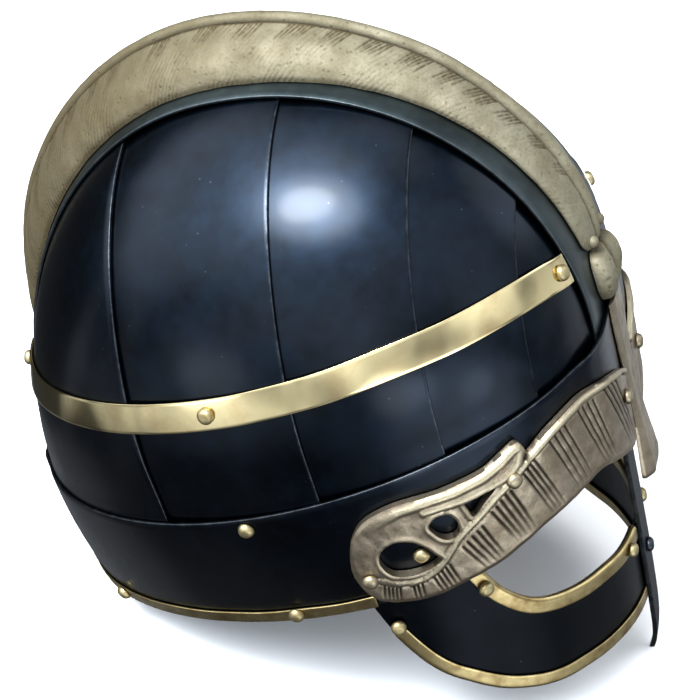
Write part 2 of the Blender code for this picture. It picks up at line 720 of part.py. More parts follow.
def guard_point(from_nose, height, lift=0.0):
    """A point on the guard's outer face: behind the nasal bar in front, inside the band at the side."""
    turn = math.radians(from_nose)
    front = -(bar_front(min(height, 0.0)) + BAR_SHEET + FIT)
    bowed = 1.0 / math.hypot(math.sin(turn) / GUARD_HALF_BREADTH, math.cos(turn) / front)
    seat = around(from_nose - 90, max(height, RIM_HEIGHT))
    wrapped = math.hypot(seat.x, seat.y) - TRIM_SHEET - 2 * FIT
    start, end = GUARD_WRAP
    radius = blend(bowed, wrapped, ease((from_nose - start) / (end - start))) + lift
    return Vector((-radius * math.sin(turn), -radius * math.cos(turn), height))


def guard_span(from_nose):
    """Lower and upper height of a guard at degrees from the nose."""
    return -GUARD_DROP * follow(GUARD_BOTTOM, from_nose), -GUARD_DROP * follow(GUARD_TOP, from_nose)


def make_guards():
    """Crescent guard under each eye, from inside the brow band round to behind the nasal bar."""
    first = math.degrees(math.atan2(GUARD_NOSE_GAP, FRONT_REACH))
    outer, inner = [], []
    for from_nose in spaced(first, GUARD_BOTTOM[-1][0], 24):
        low, high = guard_span(from_nose)
        heights = spaced(low, high, 3)
        outer.append([guard_point(from_nose, height) for height in heights])
        inner.append([guard_point(from_nose, height, -PLATE) for height in heights])
    add_pair("eye_guard", shell_mesh(outer, inner), "blackened_steel")


def make_guard_trims():
    """Folded brass trims along each guard's lower and upper edge, ending beside the nasal bar."""
    nose = math.degrees(math.atan2(BAR_HALF_WIDTH + GUARD_NOSE_GAP, FRONT_REACH))
    radius = (GUARD_HALF_BREADTH + FRONT_REACH) / 2
    for edge_index, (label, last) in enumerate(GUARD_TRIM_ENDS.items()):
        inward = 1 - 2 * edge_index
        rings = []
        for from_nose in spaced(nose, last, 18 - 4 * edge_index):
            low, high = [guard_span(from_nose + step)[edge_index] for step in (-0.5, 0.5)]
            along = Vector((math.radians(1.0) * radius, high - low)).normalized()
            edge = guard_span(from_nose)[edge_index]

            def place(depth, lift):
                turn = from_nose - math.degrees(along.y * depth * inward / radius)
                return guard_point(turn, edge + along.x * depth * inward, lift - PLATE / 2)

            rings.append(folded_section(place))
        add_pair(f"guard_trim_{label}", loft_mesh(rings), "trim_brass")


def rivet_mesh():
    """Domed rivet head, seat at the origin, facing +Z."""
    rings = []
    sides = 8
    for share, rise in ((1.0, 0.0), (0.88, 0.55), (0.45, 1.0)):
        rings.append([Vector((RIVET_RADIUS * share * math.cos(math.tau * k / sides),
                              RIVET_RADIUS * share * math.sin(math.tau * k / sides),
                              RIVET_RISE * rise)) for k in range(sides)])
    return loft_mesh(rings)


def add_rivet(name, seat, normal, material="trim_brass"):
    """Put a rivet head on a surface."""
    points, faces = rivet_mesh()
    turn = Vector((0, 0, 1)).rotation_difference(normal).to_matrix()
    placed = [seat + normal * FIT + turn @ point for point in points]
    add_piece(name, placed, faces, material, 60.0)


def add_rivet_pair(name, seat, normal):
    """Put a rivet on each side of the helmet, given the place on the wearer's right."""
    for label, side in SIDES:
        place, out = mirrored((seat, normal), side)
        add_rivet(f"{name}_{label}", place, out)


def make_rivets():
    """Every rivet that shows, seated on the sheet or casting that it holds."""
    for name, angle in (("side_band_rivet_front", -72.6), ("side_band_rivet_middle", 3.8),
                        ("side_band_rivet_rear", 71.5)):
        base = around(angle, at_height(angle, side_band_middle))
        normal = normal_at(base)
        add_rivet_pair(name, base + normal * (FIT + BAND_SHEET), normal)
    for name, angle, height in (("brow_band_rivet_side", 3.4, BROW_BAND_HEIGHT * 0.907),
                                ("brow_band_rivet_front", EYEBROW_SPAN * 0.800 - 90, EYEBROW_HEIGHT * 0.425)):
        base = around(angle, height)
        add_rivet_pair(name, lifted(angle, height, PLATE), normal_at(base))
    for name, angle in (("rim_rivet_side", 0.3), ("rim_rivet_rear", 53.3)):
        height = rim_line(angle) + TRIM_DEPTH * 0.7
        base = around(angle, height)
        add_rivet_pair(name, lifted(angle, height, PLATE + FIT + TRIM_SHEET), normal_at(base))
    for name, share, rise in (("eyebrow_rivet_outer", 0.956, 0.358), ("eyebrow_rivet_middle", 0.534, 0.764),
                              ("eyebrow_rivet_inner", 0.127, 0.671)):
        height = EYEBROW_HEIGHT * rise
        base = around(EYEBROW_SPAN * share - 90, height)
        seat = eyebrow_point(share, height, eyebrow_body(share))
        add_rivet_pair(name, seat, normal_at(base))
    for name, from_nose, drop, lift in (("guard_rivet_rear", 68.0, 0.131, FIT),
                                        ("guard_rivet_upper", 46.9, 0.038, CAST_FIT + FIT / 2),
                                        ("guard_rivet_nose", 9.0, 0.492, CAST_FIT + FIT / 2)):
        height = -GUARD_DROP * drop
        seat = guard_point(from_nose, height, TRIM_SHEET + lift)
        normal = (guard_point(from_nose, height, FIT + TRIM_SHEET + 1.0) - seat).normalized()
        add_rivet_pair(name, seat, normal)
    seat = Vector((0, bar_front(BAR_RIVET_HEIGHT), BAR_RIVET_HEIGHT))
    add_rivet("nasal_bar_rivet", seat, Vector((0, -1, 0)), "blackened_steel")


def stance(pieces):
    """Tip and shift that stand the helmet on the lower edge under its middle, as seen from the side."""
    places = sorted({(round(v.co.y, 7), round(v.co.z, 7)) for piece in pieces for v in piece.data.vertices})
    hull = []
    for place in places:
        while len(hull) > 1:
            (ay, az), (by, bz) = hull[-2], hull[-1]
            if (by - ay) * (place[1] - az) - (bz - az) * (place[0] - ay) > 0:
                break
            hull.pop()
        hull.append(place)
    for (ay, az), (by, bz) in zip(hull, hull[1:]):
        if ay <= 0.0 <= by:
            tilt = Matrix.Rotation(-math.atan2(bz - az, by - ay), 4, "X")
    corners = [tilt @ v.co for piece in pieces for v in piece.data.vertices]
    low = [min(corner[k] for corner in corners) for k in range(3)]
    high = [max(corner[k] for corner in corners) for k in range(3)]
    shift = Matrix.Translation((-(low[0] + high[0]) / 2, -(low[1] + high[1]) / 2, -low[2]))
    return shift @ tilt


def build():
    """Make every piece in the head's frame, then stand the helmet on its rest."""
    for old in list(bpy.data.objects):
        bpy.data.objects.remove(old)
    make_strap()
    make_brow_band()
    make_plates()
    make_side_bands()
    make_rim_trim()
    make_crest()
    make_crest_head()
    make_nasal_casting()
    make_nasal_bar()
    make_eyebrows()
    make_guards()
    make_guard_trims()
    make_rivets()
    pieces = [piece for piece in bpy.data.objects if not piece.hide_render]
    rest = bpy.data.objects.new("rest", None)
    bpy.context.scene.collection.objects.link(rest)
    for piece in bpy.data.objects:
        if piece is not rest:
            piece.parent = rest
    rest.matrix_world = stance(pieces)


build()
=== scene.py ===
"""Crested steel helmet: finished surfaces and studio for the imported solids.

Shapes are worked out in the head's frame, in millimetres: the face looks along -Y and the wearer's
right is -X. to_world tips them onto the floor, as the solids lie.
"""
import math

import bmesh
import bpy
import numpy as np
from mathutils import Matrix, Vector


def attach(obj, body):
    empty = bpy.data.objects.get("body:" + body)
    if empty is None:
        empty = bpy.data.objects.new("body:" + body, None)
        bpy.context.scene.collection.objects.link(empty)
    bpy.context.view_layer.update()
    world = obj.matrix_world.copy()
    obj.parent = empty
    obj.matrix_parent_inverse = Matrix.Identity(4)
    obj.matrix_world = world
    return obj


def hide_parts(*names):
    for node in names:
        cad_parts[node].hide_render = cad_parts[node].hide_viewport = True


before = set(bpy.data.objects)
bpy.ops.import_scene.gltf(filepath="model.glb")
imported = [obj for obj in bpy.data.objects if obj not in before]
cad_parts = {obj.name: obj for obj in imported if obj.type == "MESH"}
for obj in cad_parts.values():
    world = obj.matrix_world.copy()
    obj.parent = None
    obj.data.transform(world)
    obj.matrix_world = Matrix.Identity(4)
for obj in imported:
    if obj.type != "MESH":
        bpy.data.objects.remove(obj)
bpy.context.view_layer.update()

MM = 0.001

# How the helmet lies: tipped back about X, in degrees, then shifted, in metres
REST_TIP = -21.56475
REST_SHIFT = (0.0, -0.007846, 0.055343)

# Skull, to the outer face of the plates
CROWN_HEIGHT = 186.5
HALF_BREADTH = 95.0
FRONT_REACH = 115.0
REAR_REACH = 120.0
SIDE_BULGE = 76.0
FRONT_BULGE = 80.0
REAR_BULGE = 48.0
SIDE_TUCK = 6.7
FRONT_TUCK = 1.5
REAR_TUCK = 3.6
SIDE_SHOULDER = 1.8
FRONT_SHOULDER = 2.15
REAR_SHOULDER = 1.76
BROW_PLAN_ROUNDNESS = 2.0
BROW_FLAT = 0.2
BACK_PLAN_ROUNDNESS = 2.24
NAPE_PLAN_ROUNDNESS = 1.9
NAPE_FLAT = 0.246

# Sheet and clearances
PLATE = 1.2
FIT = 0.35
CAST_FIT = 0.5
CAST_SEAT = FIT + PLATE + CAST_FIT
STRAP_PASS = 0.85
TRIM_SHEET = 0.8
TRIM_DEPTH = 6.5
BAND_SHEET = 1.0
BAND_WIDTH = 11.0
LAP = 6.0

STRAP_HALF_WIDTH = 25.0
STRAP_SPREAD = 1.12
STRAP_REAR_END = 1.0
STRAP_FRONT_END = 19.5
PLATE_TUCK = 8.0
EYE_LINE = 60.0
STRAP_MIDDLE = 5.0
BROW_BAND_HEIGHT = 55.0
BROW_BAND_RISE = 15.0
BROW_BAND_CURVE = 6.0
RIM_HEIGHT = 1.6
RIM_RISE = 13.5
EYE_ARCH_HEIGHT = 17.5
SIDE_BAND_HEIGHT = 98.6
SIDE_BAND_END_GAP = 1.5
CREST_HALF_WIDTH = 20.0
CREST_HEIGHT = 20.0
CREST_REAR_ANGLE = 2.0
CREST_FRONT_ANGLE = 161.5
CREST_HEAD_LENGTH = 20.5
CREST_HEAD_HALF_WIDTH = 14.0
CREST_HEAD_HEIGHT = 5.6
CREST_EYE_RADIUS = 2.2
CREST_EYE_PLACE = 8.5
CREST_EYE_RISE = 2.6
CREST_EYE_SETBACK = 1.5
NASAL_BOTTOM_HEIGHT = -2.0
NASAL_HALF_WIDTH = 12.5
NASAL_THICKNESS = 5.0
BAR_HALF_WIDTH = 6.3
BAR_SHEET = 2.0
BAR_TIP_HEIGHT = -101.0
BAR_TOP_HEIGHT = 50.0
BAR_SET_BACK = 7.5
BAR_RIVET_HEIGHT = -44.0
EYEBROW_SPAN = 73.0
EYEBROW_HEIGHT = 64.5
EYEBROW_THICKNESS = 3.4
# Radius of the brow under an eyebrow, which turns its span into millimetres
EYEBROW_RADIUS = 101.0
GUARD_HALF_BREADTH = 86.5
GUARD_DROP = 65.0
GUARD_NOSE_GAP = 1.5
GUARD_WRAP = (44.0, 64.0)
# Where the rim trim starts, hidden by the eyebrow: share of the eyebrow's span
RIM_TRIM_START = 0.965
RIVET_RADIUS = 3.1
RIVET_RISE = 2.4
# Plan directions, in degrees from straight out, that the rear and the front plates fan out to
REAR_PLATE_TURN = 73
FRONT_PLATE_TURN = -36

# Hand work, in mm: how far the hammer leaves each face uneven
PLATE_UNEVEN = 0.13
PLATE_FOOT_FLARE = 0.35
BAND_UNEVEN = 0.035
BAND_SEAM_DIP = 0.14

# Crest, in mm: where its ends round off, its bead's radius, and its strokes' and file lines' size and slant
CREST_FRONT_ROUNDING = 7.0
CREST_REAR_ROUNDING = 5.0
CREST_BEAD = 2.6
STROKE_TOP = 0.7
STROKE_PITCH = 1.55
STROKE_HALF_WIDTH = 0.48
STROKE_LEAN = (50, 58)
FILE_LINE_PITCH = 2.1
FILE_LINE_SLANT = 0.73
FILE_LINE_DEPTH = 0.34

SIDES = (("right", -1), ("left", 1))


def thousandths(*rows):
    """A table of shares, from rows written in thousandths."""
    return tuple(tuple(value / 1000 for value in row) for row in rows)


# Side band: share forward, share of its height
SIDE_BAND_LINE = thousandths(
    (-1000, 930), (-600, 957), (-290, 976), (0, 1000), (150, 1020), (300, 1040), (500, 1074), (640, 1090),
    (810, 1107), (900, 1099), (950, 1072), (1000, 1045))

# Brow band's lower edge over the eye: degrees from the nose, share of the arch height
EYE_ARCH = ((0, 0.47), (8, 0.50), (14, 0.68), (21, 1.0), (27, 0.94), (32, 0.83), (36, 0.70), (41, 0.51),
            (46, 0.37), (52, 0.25), (58, 0.15), (64, 0.06), (67, 0.0), (180, 0.0))

# Seams between plates, as shares of the reach (rear positive)
SEAMS = (0.325, -0.21, -0.60, -0.862)

# Strap: degrees over the crown from the nape, share of the spread
STRAP_LINE = ((-40, 0.0), (0, 0.5), (60, 0.5), (90, 0.0), (104, -0.15), (120, 0.1), (140, 0.7), (156, 1.0),
              (170, 0.3), (206, 0.0))

# Crest: share of its length from the rear, share of half width, share of height
CREST_STATIONS = thousandths(
    (0, 280, 200), (32, 400, 320), (83, 580, 520), (166, 800, 740), (249, 940, 910), (319, 1000, 970),
    (396, 1000, 1000), (473, 990, 1000), (562, 960, 965), (639, 920, 905), (703, 880, 825), (767, 840, 755),
    (831, 810, 635), (895, 790, 540), (958, 750, 430), (984, 710, 350), (1000, 660, 300))

# Crest's cheek, from the seat up to the groove under the bead: share of the way, of half width and of height
CREST_CHEEK = thousandths(
    (0, 1000, 0), (140, 1000, 130), (340, 870, 380), (560, 630, 600), (800, 350, 785), (1000, 170, 875))

# Cut strokes across the crest, below its bead: share of its length, strokes, depth and length in mm
CREST_STROKES = (
    (0.06, 5, 0.308, 20), (0.095, 5, 0.308, 22), (0.135, 6, 0.322, 24), (0.18, 6, 0.322, 25),
    (0.225, 6, 0.322, 22), (0.27, 5, 0.336, 18), (0.315, 5, 0.336, 15), (0.358, 5, 0.336, 13),
    (0.396, 4, 0.322, 11), (0.43, 4, 0.322, 9), (0.489, 5, 0.35, 9), (0.54, 5, 0.35, 8), (0.585, 5, 0.364, 8),
    (0.632, 6, 0.392, 8), (0.671, 5, 0.392, 8), (0.709, 6, 0.42, 9), (0.748, 6, 0.42, 9),
    (0.784, 5, 0.42, 8.5), (0.817, 6, 0.42, 8.5), (0.85, 5, 0.392, 8), (0.884, 5, 0.364, 7),
    (0.918, 4, 0.308, 6))

# Crest head: share of its length from the crest, share of half width, share of height
HEAD_STATIONS = thousandths(
    (0, 660, 500), (50, 800, 780), (140, 910, 980), (300, 990, 1120), (480, 1000, 1150), (660, 960, 1080),
    (820, 840, 920), (940, 660, 680), (1000, 460, 420))

# Crest head across: share of half width, share of height
HEAD_SECTION = thousandths(
    (-1000, 220), (-970, 560), (-860, 860), (-640, 1040), (-400, 1030), (-200, 800), (-100, 600), (0, 740),
    (100, 600), (200, 800), (400, 1030), (640, 1040), (860, 860), (970, 560), (1000, 220))

# Nasal casting: share of its length from the top, share of half width, share of thickness
NASAL_STATIONS = thousandths(
    (0, 860, 340), (100, 860, 380), (260, 760, 380), (420, 660, 400), (580, 640, 480), (720, 700, 640),
    (860, 880, 860), (950, 1000, 960), (1000, 970, 880))

# Nasal casting across: share of half width, share of thickness
NASAL_SECTION = thousandths(
    (-1000, 260), (-900, 480), (-720, 800), (-580, 960), (-450, 1000), (0, 1000), (450, 1000), (580, 960),
    (720, 800), (900, 480), (1000, 260))

# Nasal bar: share of the way to its tip, share of half width, share of the set-back
BAR_STATIONS = thousandths(
    (0, 1000, 0), (185, 1000, 0), (385, 1000, 20), (615, 1020, 100), (795, 1040, 220), (887, 860, 340),
    (947, 560, 540), (980, 330, 740), (1000, 120, 900))

# Rivet head, from its seat to its middle: share of radius, share of rise
RIVET_SECTION = thousandths(
    (1000, 0), (1000, 160), (970, 360), (880, 600), (720, 800), (500, 930), (250, 990), (30, 1000))

# Eyebrow edges: share of the span from the nose, share of the height above the rim
EYEBROW_TOP = thousandths(
    (66, 775), (159, 905), (249, 986), (318, 1003), (370, 983), (418, 949), (455, 909), (480, 873),
    (488, 896), (495, 946), (504, 972), (515, 971), (531, 955), (551, 933), (595, 886), (648, 864),
    (726, 843), (802, 840), (855, 825), (913, 784), (946, 732), (977, 636), (992, 543), (1000, 457))
EYEBROW_BOTTOM = thousandths(
    (66, 262), (110, 288), (180, 366), (245, 434), (285, 456), (325, 440), (366, 420), (435, 383), (499, 335),
    (560, 274), (604, 233), (647, 205), (681, 186), (727, 158), (768, 136), (819, 124), (875, 130),
    (917, 146), (957, 189), (985, 273), (1000, 380))

# Eyebrow's body: share of the span, share of thickness
EYEBROW_BODY = thousandths((0, 450), (250, 550), (450, 900), (600, 1000), (1000, 1000))

# Openings between the beast's jaws and behind them: shares of the span and of the height
EYEBROW_HOLES = (
    thousandths((660, 735), (622, 752), (578, 764), (612, 695), (645, 628), (656, 680)),
    thousandths(
        (763, 645), (753, 680), (738, 700), (709, 698), (694, 660), (687, 610), (688, 562), (700, 530),
        (722, 527), (742, 556), (755, 600)),
    thousandths(
        (915, 470), (908, 530), (890, 572), (862, 596), (832, 588), (806, 560), (780, 505), (763, 450),
        (750, 398), (770, 366), (796, 345), (825, 336), (855, 338), (887, 356), (906, 405)))

# Raised beads on the eyebrow: shares of the span and of the height along each; half widths and rises in mm
BROW_EDGE_BEAD = thousandths(
    (75, 770), (118, 842), (163, 888), (205, 932), (249, 960), (283, 968), (318, 970), (370, 948), (418, 916),
    (455, 878), (485, 838), (510, 800), (532, 765), (550, 743), (587, 689), (625, 623), (661, 569),
    (692, 515), (716, 453), (741, 385), (772, 325), (810, 285), (845, 275), (886, 290), (917, 325),
    (945, 345))
HOOK_OUTER_BEAD = thousandths(
    (507, 940), (520, 936), (536, 918), (556, 891), (598, 850), (637, 832), (700, 812), (769, 808),
    (836, 788), (893, 742), (925, 700))
HOOK_INNER_BEAD = thousandths(
    (502, 920), (514, 845), (546, 793), (575, 778), (605, 772), (643, 758), (682, 752), (719, 750),
    (765, 748))
BEADS = ((BROW_EDGE_BEAD, 1.35, 0.85), (HOOK_OUTER_BEAD, 1.7, 0.80), (HOOK_INNER_BEAD, 1.4, 0.75))

# Cut strokes across the eyebrow's body: shares of the span and of the height at the start and at the end
BROW_STROKES = thousandths(
    (242, 941, 150, 380), (223, 926, 126, 360), (202, 905, 104, 350), (178, 880, 88, 340),
    (489, 878, 501, 836), (501, 836, 524, 800), (330, 925, 272, 480), (313, 925, 261, 480),
    (296, 925, 249, 480), (279, 920, 236, 470), (425, 870, 368, 470), (409, 885, 353, 475),
    (393, 893, 338, 480), (377, 900, 322, 485), (507, 770, 450, 420), (497, 795, 438, 425),
    (486, 811, 426, 430), (474, 821, 414, 435), (602, 610, 552, 340), (588, 635, 540, 345),
    (574, 662, 527, 355), (560, 685, 512, 365), (546, 700, 500, 375), (690, 440, 646, 245),
    (676, 465, 632, 255), (661, 490, 617, 265), (646, 515, 604, 275), (632, 540, 592, 290),
    (782, 272, 768, 160), (770, 290, 755, 165), (758, 308, 742, 175), (746, 326, 729, 185),
    (734, 344, 716, 195), (843, 245, 845, 145), (831, 245, 832, 142), (818, 245, 819, 142),
    (923, 285, 934, 190), (912, 272, 922, 175), (902, 262, 911, 162), (892, 254, 900, 155),
    (881, 248, 889, 150))

# Guard edges: degrees from the nose, share of the drop below the rim
GUARD_BOTTOM = ((1, 1.009), (9.6, 1.006), (15.4, 0.997), (22.6, 0.985), (28.5, 0.969), (33.9, 0.958),
                (38.8, 0.928), (43.4, 0.880), (47.7, 0.822), (51.8, 0.743), (55.8, 0.654),
                (59.7, 0.566), (63.3, 0.458), (66.6, 0.320), (69.8, 0.157), (71.6, 0.031), (73, -0.077))
GUARD_TOP = ((1, 0.440), (11.5, 0.437), (18.4, 0.411), (25.4, 0.391), (33.5, 0.337), (38.2, 0.265),
             (43.2, 0.112), (46.1, -0.037), (48.2, -0.177), (50, -0.308), (60, -0.331), (73, -0.308))
GUARD_TRIM_ENDS = {"lower": 69.0, "upper": 47.6}


# ---- shape of the skull


def blend(a, b, share):
    """The value a share of the way from a to b."""
    return a + (b - a) * share


def between(low, high, count):
    """Even steps from each of a row of low values to its high one."""
    return blend(low[:, None], high[:, None], np.linspace(0, 1, count))


def ease(share):
    """A smooth step from 0 to 1."""
    share = np.clip(share, 0.0, 1.0)
    return share * share * (3 - 2 * share)


def hump(away, width):
    """A soft hump: 1 at its middle, and gone about two widths away."""
    return np.exp(-(away / width) ** 2)


def follow(table, at, column=1):
    """Read a smooth curve through a table's rows at places along its first column."""
    x, y = (np.array([row[k] for row in table], float) for k in (0, column))
    slope = np.empty_like(y)
    slope[1:-1] = (y[2:] - y[:-2]) / (x[2:] - x[:-2])
    slope[0] = (y[1] - y[0]) / (x[1] - x[0])
    slope[-1] = (y[-1] - y[-2]) / (x[-1] - x[-2])
    at = np.clip(np.asarray(at, float), x[0], x[-1])
    k = np.clip(np.searchsorted(x, at, side="right") - 1, 0, len(x) - 2)
    step = x[k + 1] - x[k]
    t = (at - x[k]) / step
    return ((2 * t ** 3 - 3 * t ** 2 + 1) * y[k] + (t ** 3 - 2 * t ** 2 + t) * slope[k] * step
            + (3 * t ** 2 - 2 * t ** 3) * y[k + 1] + (t ** 3 - t ** 2) * slope[k + 1] * step)


def settle(low, high, holds, rounds):
    """Close ranges on the places up to which a test holds."""
    for _ in range(rounds):
        middle = (low + high) / 2
        held = holds(middle)
        low, high = np.where(held, middle, low), np.where(held, high, middle)
    return low


def reach_at(height, reach, bulge, tuck, shoulder):
    """How far the skull reaches out from its middle at a height, on one of its sides."""
    low = reach - tuck * ((bulge - height) / bulge) ** 2
    rise = np.clip((height - bulge) / (CROWN_HEIGHT - bulge), 0.0, 1.0)
    return np.where(height <= bulge, low, reach * np.sqrt(1.0 - rise ** shoulder))


def gauge(points):
    """Negative inside the skull, zero on it and positive outside."""
    x, y, z = points[..., 0], points[..., 1], points[..., 2]
    half = np.maximum(reach_at(z, HALF_BREADTH, SIDE_BULGE, SIDE_TUCK, SIDE_SHOULDER), 1e-6)
    front = reach_at(z, FRONT_REACH, FRONT_BULGE, FRONT_TUCK, FRONT_SHOULDER)
    rear = reach_at(z, REAR_REACH, REAR_BULGE, REAR_TUCK, REAR_SHOULDER)
    reach = np.maximum((front + rear) / 2, 1e-6)
    along = (y - (rear - front) / 2) / reach
    fade = np.maximum(0.0, 1.0 - (np.maximum(z, 0.0) / SIDE_BULGE) ** 2)
    behind = along > 0
    flat = np.where(behind, NAPE_FLAT * fade, BROW_FLAT)
    power = np.where(behind, blend(BACK_PLAN_ROUNDNESS, NAPE_PLAN_ROUNDNESS, fade), BROW_PLAN_ROUNDNESS)
    across = np.maximum(0.0, np.abs(x) / half - flat) / (1.0 - flat)
    return np.where(z >= CROWN_HEIGHT, 1.0, across ** power + np.abs(along) ** power - 1.0)


def normal_at(points):
    """Outward direction of the skull at points on it."""
    probe = 0.05
    slopes = [gauge(points + step) - gauge(points - step) for step in np.eye(3) * probe]
    normal = np.stack(slopes, -1)
    return normal / np.maximum(np.linalg.norm(normal, axis=-1, keepdims=True), 1e-12)


def cast(origin, direction, lift=0.0):
    """Where rays from inside the skull meet it, raised along the skull's normal."""
    origin, direction = np.broadcast_arrays(np.asarray(origin, float), np.asarray(direction, float))
    direction = direction / np.linalg.norm(direction, axis=-1, keepdims=True)
    near = np.zeros(direction.shape[:-1] + (1,))
    reach = settle(near, near + 2 * REAR_REACH + CROWN_HEIGHT,
                   lambda middle: gauge(origin + direction * middle)[..., None] < 0, 34)
    points = origin + direction * reach
    return points + normal_at(points) * np.asarray(lift, float)[..., None]


def vectors(*parts):
    """Stack three coordinates, whatever their shapes, into points."""
    return np.stack(np.broadcast_arrays(*[np.asarray(part, float) for part in parts]), -1)


def around(angle, height, lift=0.0):
    """Points of the skull at plan angles: 0 at the wearer's right, 90 at the nape, -90 at the brow."""
    turn = np.radians(angle)
    return cast(vectors(0, 0, height), vectors(-np.cos(turn), np.sin(turn), 0 * turn), lift)


def over_crown(angle, across, lift=0.0):
    """Points of the skull at angles over the crown, from nape to brow, and distances off the middle."""
    turn = np.radians(angle)
    return cast(vectors(across, STRAP_MIDDLE, EYE_LINE), vectors(0, np.cos(turn), np.sin(turn)), lift)


def share_forward(points):
    """How far forward points lie: -1 at the nape, 1 at the brow."""
    return -points[..., 1] / ((FRONT_REACH + REAR_REACH) / 2)


def at_height(angle, height_rule, height=BROW_BAND_HEIGHT):
    """Height that a rule gives at plan angles, once the points there are settled."""
    for _ in range(3):
        height = height_rule(around(angle, height))
    return height


def brow_band_top(points):
    """Height of the brow band's upper edge beside points."""
    forward = share_forward(points)
    return BROW_BAND_HEIGHT + BROW_BAND_RISE * forward + BROW_BAND_CURVE * forward ** 2


def rim_line(angle):
    """Height of the rim trim's lower edge at plan angles."""
    return at_height(angle, lambda points: RIM_HEIGHT + RIM_RISE * share_forward(points), RIM_HEIGHT)


def brow_band_bottom(angle):
    """Height of the brow band's lower edge at plan angles, with the arches over the eyes."""
    from_nose = np.abs(np.asarray(angle, float) + 90)
    from_nose = np.minimum(from_nose, 360 - from_nose)
    return rim_line(angle) + FIT + TRIM_SHEET + EYE_ARCH_HEIGHT * follow(EYE_ARCH, from_nose)


def side_band_middle(points):
    """Height of the middle of the side band beside points."""
    return SIDE_BAND_HEIGHT * follow(SIDE_BAND_LINE, share_forward(points))


def band_seat(points):
    """Lift of the brow band's inner face: over the strap near the middle, on the plates elsewhere."""
    beyond = (np.abs(points[..., 0]) - STRAP_HALF_WIDTH * STRAP_SPREAD - LAP) / (2 * LAP)
    return blend(FIT + PLATE + STRAP_PASS, CAST_FIT, ease(beyond))


def lifted(angle, height, extra=0.0):
    """Points on the inner face of the brow band, raised by a further amount."""
    base = around(angle, height)
    return base + normal_at(base) * (band_seat(base) + extra)[..., None]


def crown_frame(angle):
    """Middle of the strap at a row of angles from nape to brow, and the upward direction there."""
    base = over_crown(angle, 0.0)
    along = np.gradient(base, axis=0)
    up = vectors(0, along[:, 2], -along[:, 1])
    return base, up / np.linalg.norm(up, axis=-1, keepdims=True)


def crest_end():
    """Height at which the crest ends and its head begins."""
    return float(over_crown(CREST_FRONT_ANGLE, 0.0)[..., 2]) - CAST_FIT


def bar_front(height):
    """Y of the nasal bar's outer face at heights."""
    share = (np.asarray(height, float) - BAR_TOP_HEIGHT) / (BAR_TIP_HEIGHT - BAR_TOP_HEIGHT)
    seat = around(-90.0, np.maximum(height, EYE_ARCH_HEIGHT))[..., 1] + FIT
    return seat + BAR_SET_BACK * follow(BAR_STATIONS, share, 2)


def guard_point(from_nose, height, lift=0.0):
    """Points on the guard's outer face: behind the nasal bar in front, inside the band at the side."""
    from_nose, height = np.asarray(from_nose, float), np.asarray(height, float)
    turn = np.radians(from_nose)
    front = -(bar_front(np.minimum(height, 0.0)) + BAR_SHEET + FIT)
    bowed = 1.0 / np.hypot(np.sin(turn) / GUARD_HALF_BREADTH, np.cos(turn) / front)
    seat = around(from_nose - 90, np.maximum(height, RIM_HEIGHT))
    wrapped = np.hypot(seat[..., 0], seat[..., 1]) - TRIM_SHEET - 2 * FIT
    start, end = GUARD_WRAP
    radius = blend(bowed, wrapped, ease((from_nose - start) / (end - start))) + lift
    return vectors(-radius * np.sin(turn), -radius * np.cos(turn), height)


def guard_span(from_nose):
    """Lower and upper height of a guard at degrees from the nose."""
    return -GUARD_DROP * follow(GUARD_BOTTOM, from_nose), -GUARD_DROP * follow(GUARD_TOP, from_nose)


def eyebrow_point(share, height, extra):
    """Points on the brow band's outer face at shares of the eyebrow's span, raised by an amount."""
    return lifted(EYEBROW_SPAN * share - 90, height, PLATE + CAST_FIT + extra)


def slant(rise, run):
    """Degrees between a run and the line that rises over it."""
    return math.degrees(math.atan2(rise, run))


# ---- meshes

TO_WORLD = Matrix.Translation(REST_SHIFT) @ Matrix.Rotation(math.radians(REST_TIP), 4, "X")
TURN = np.array(TO_WORLD.to_3x3())
SHIFT = np.array(TO_WORLD.translation)


def to_world(points):
    """Points of the head's frame in millimetres, as the helmet lies, in metres."""
    return points * MM @ TURN.T + SHIFT


def mirrored(points, side):
    """Points made on the wearer's right, given for one side."""
    return points * np.array([-side, 1.0, 1.0])


def sheet_faces(rows, columns, ring=False, kept=None):
    """Faces of a closed sheet between two grids of points, with walls round its edges and its holes."""
    spans = rows if ring else rows - 1
    if kept is None:
        kept = np.ones((spans, columns - 1), bool)
    offset = rows * columns
    i, j = np.nonzero(kept)
    n = (i + 1) % rows
    a, b, c, d = i * columns + j, n * columns + j, n * columns + j + 1, i * columns + j + 1
    faces = [np.stack([a, b, c, d], -1), np.stack([a, d, c, b], -1) + offset]
    for start, end, step_i, step_j in ((a, b, 0, -1), (b, c, 1, 0), (c, d, 0, 1), (d, a, -1, 0)):
        beside_i, beside_j = i + step_i, j + step_j
        if ring:
            beside_i = beside_i % spans
        outside = (beside_i < 0) | (beside_i >= spans) | (beside_j < 0) | (beside_j >= columns - 1)
        gone = outside | ~kept[np.clip(beside_i, 0, spans - 1), np.clip(beside_j, 0, columns - 2)]
        faces.append(np.stack([start, end, end + offset, start + offset], -1)[gone])
    return np.concatenate(faces).tolist()


def loft_faces(rings, count):
    """Faces of a solid through closed rings of points, with flat ends."""
    i, j = np.meshgrid(np.arange(rings - 1) * count, np.arange(count), indexing="ij")
    k = (j + 1) % count
    sides = np.stack([i + j, i + k, i + count + k, i + count + j], -1).reshape(-1, 4)
    return sides.tolist() + [list(range(start, start + count)) for start in (0, (rings - 1) * count)]


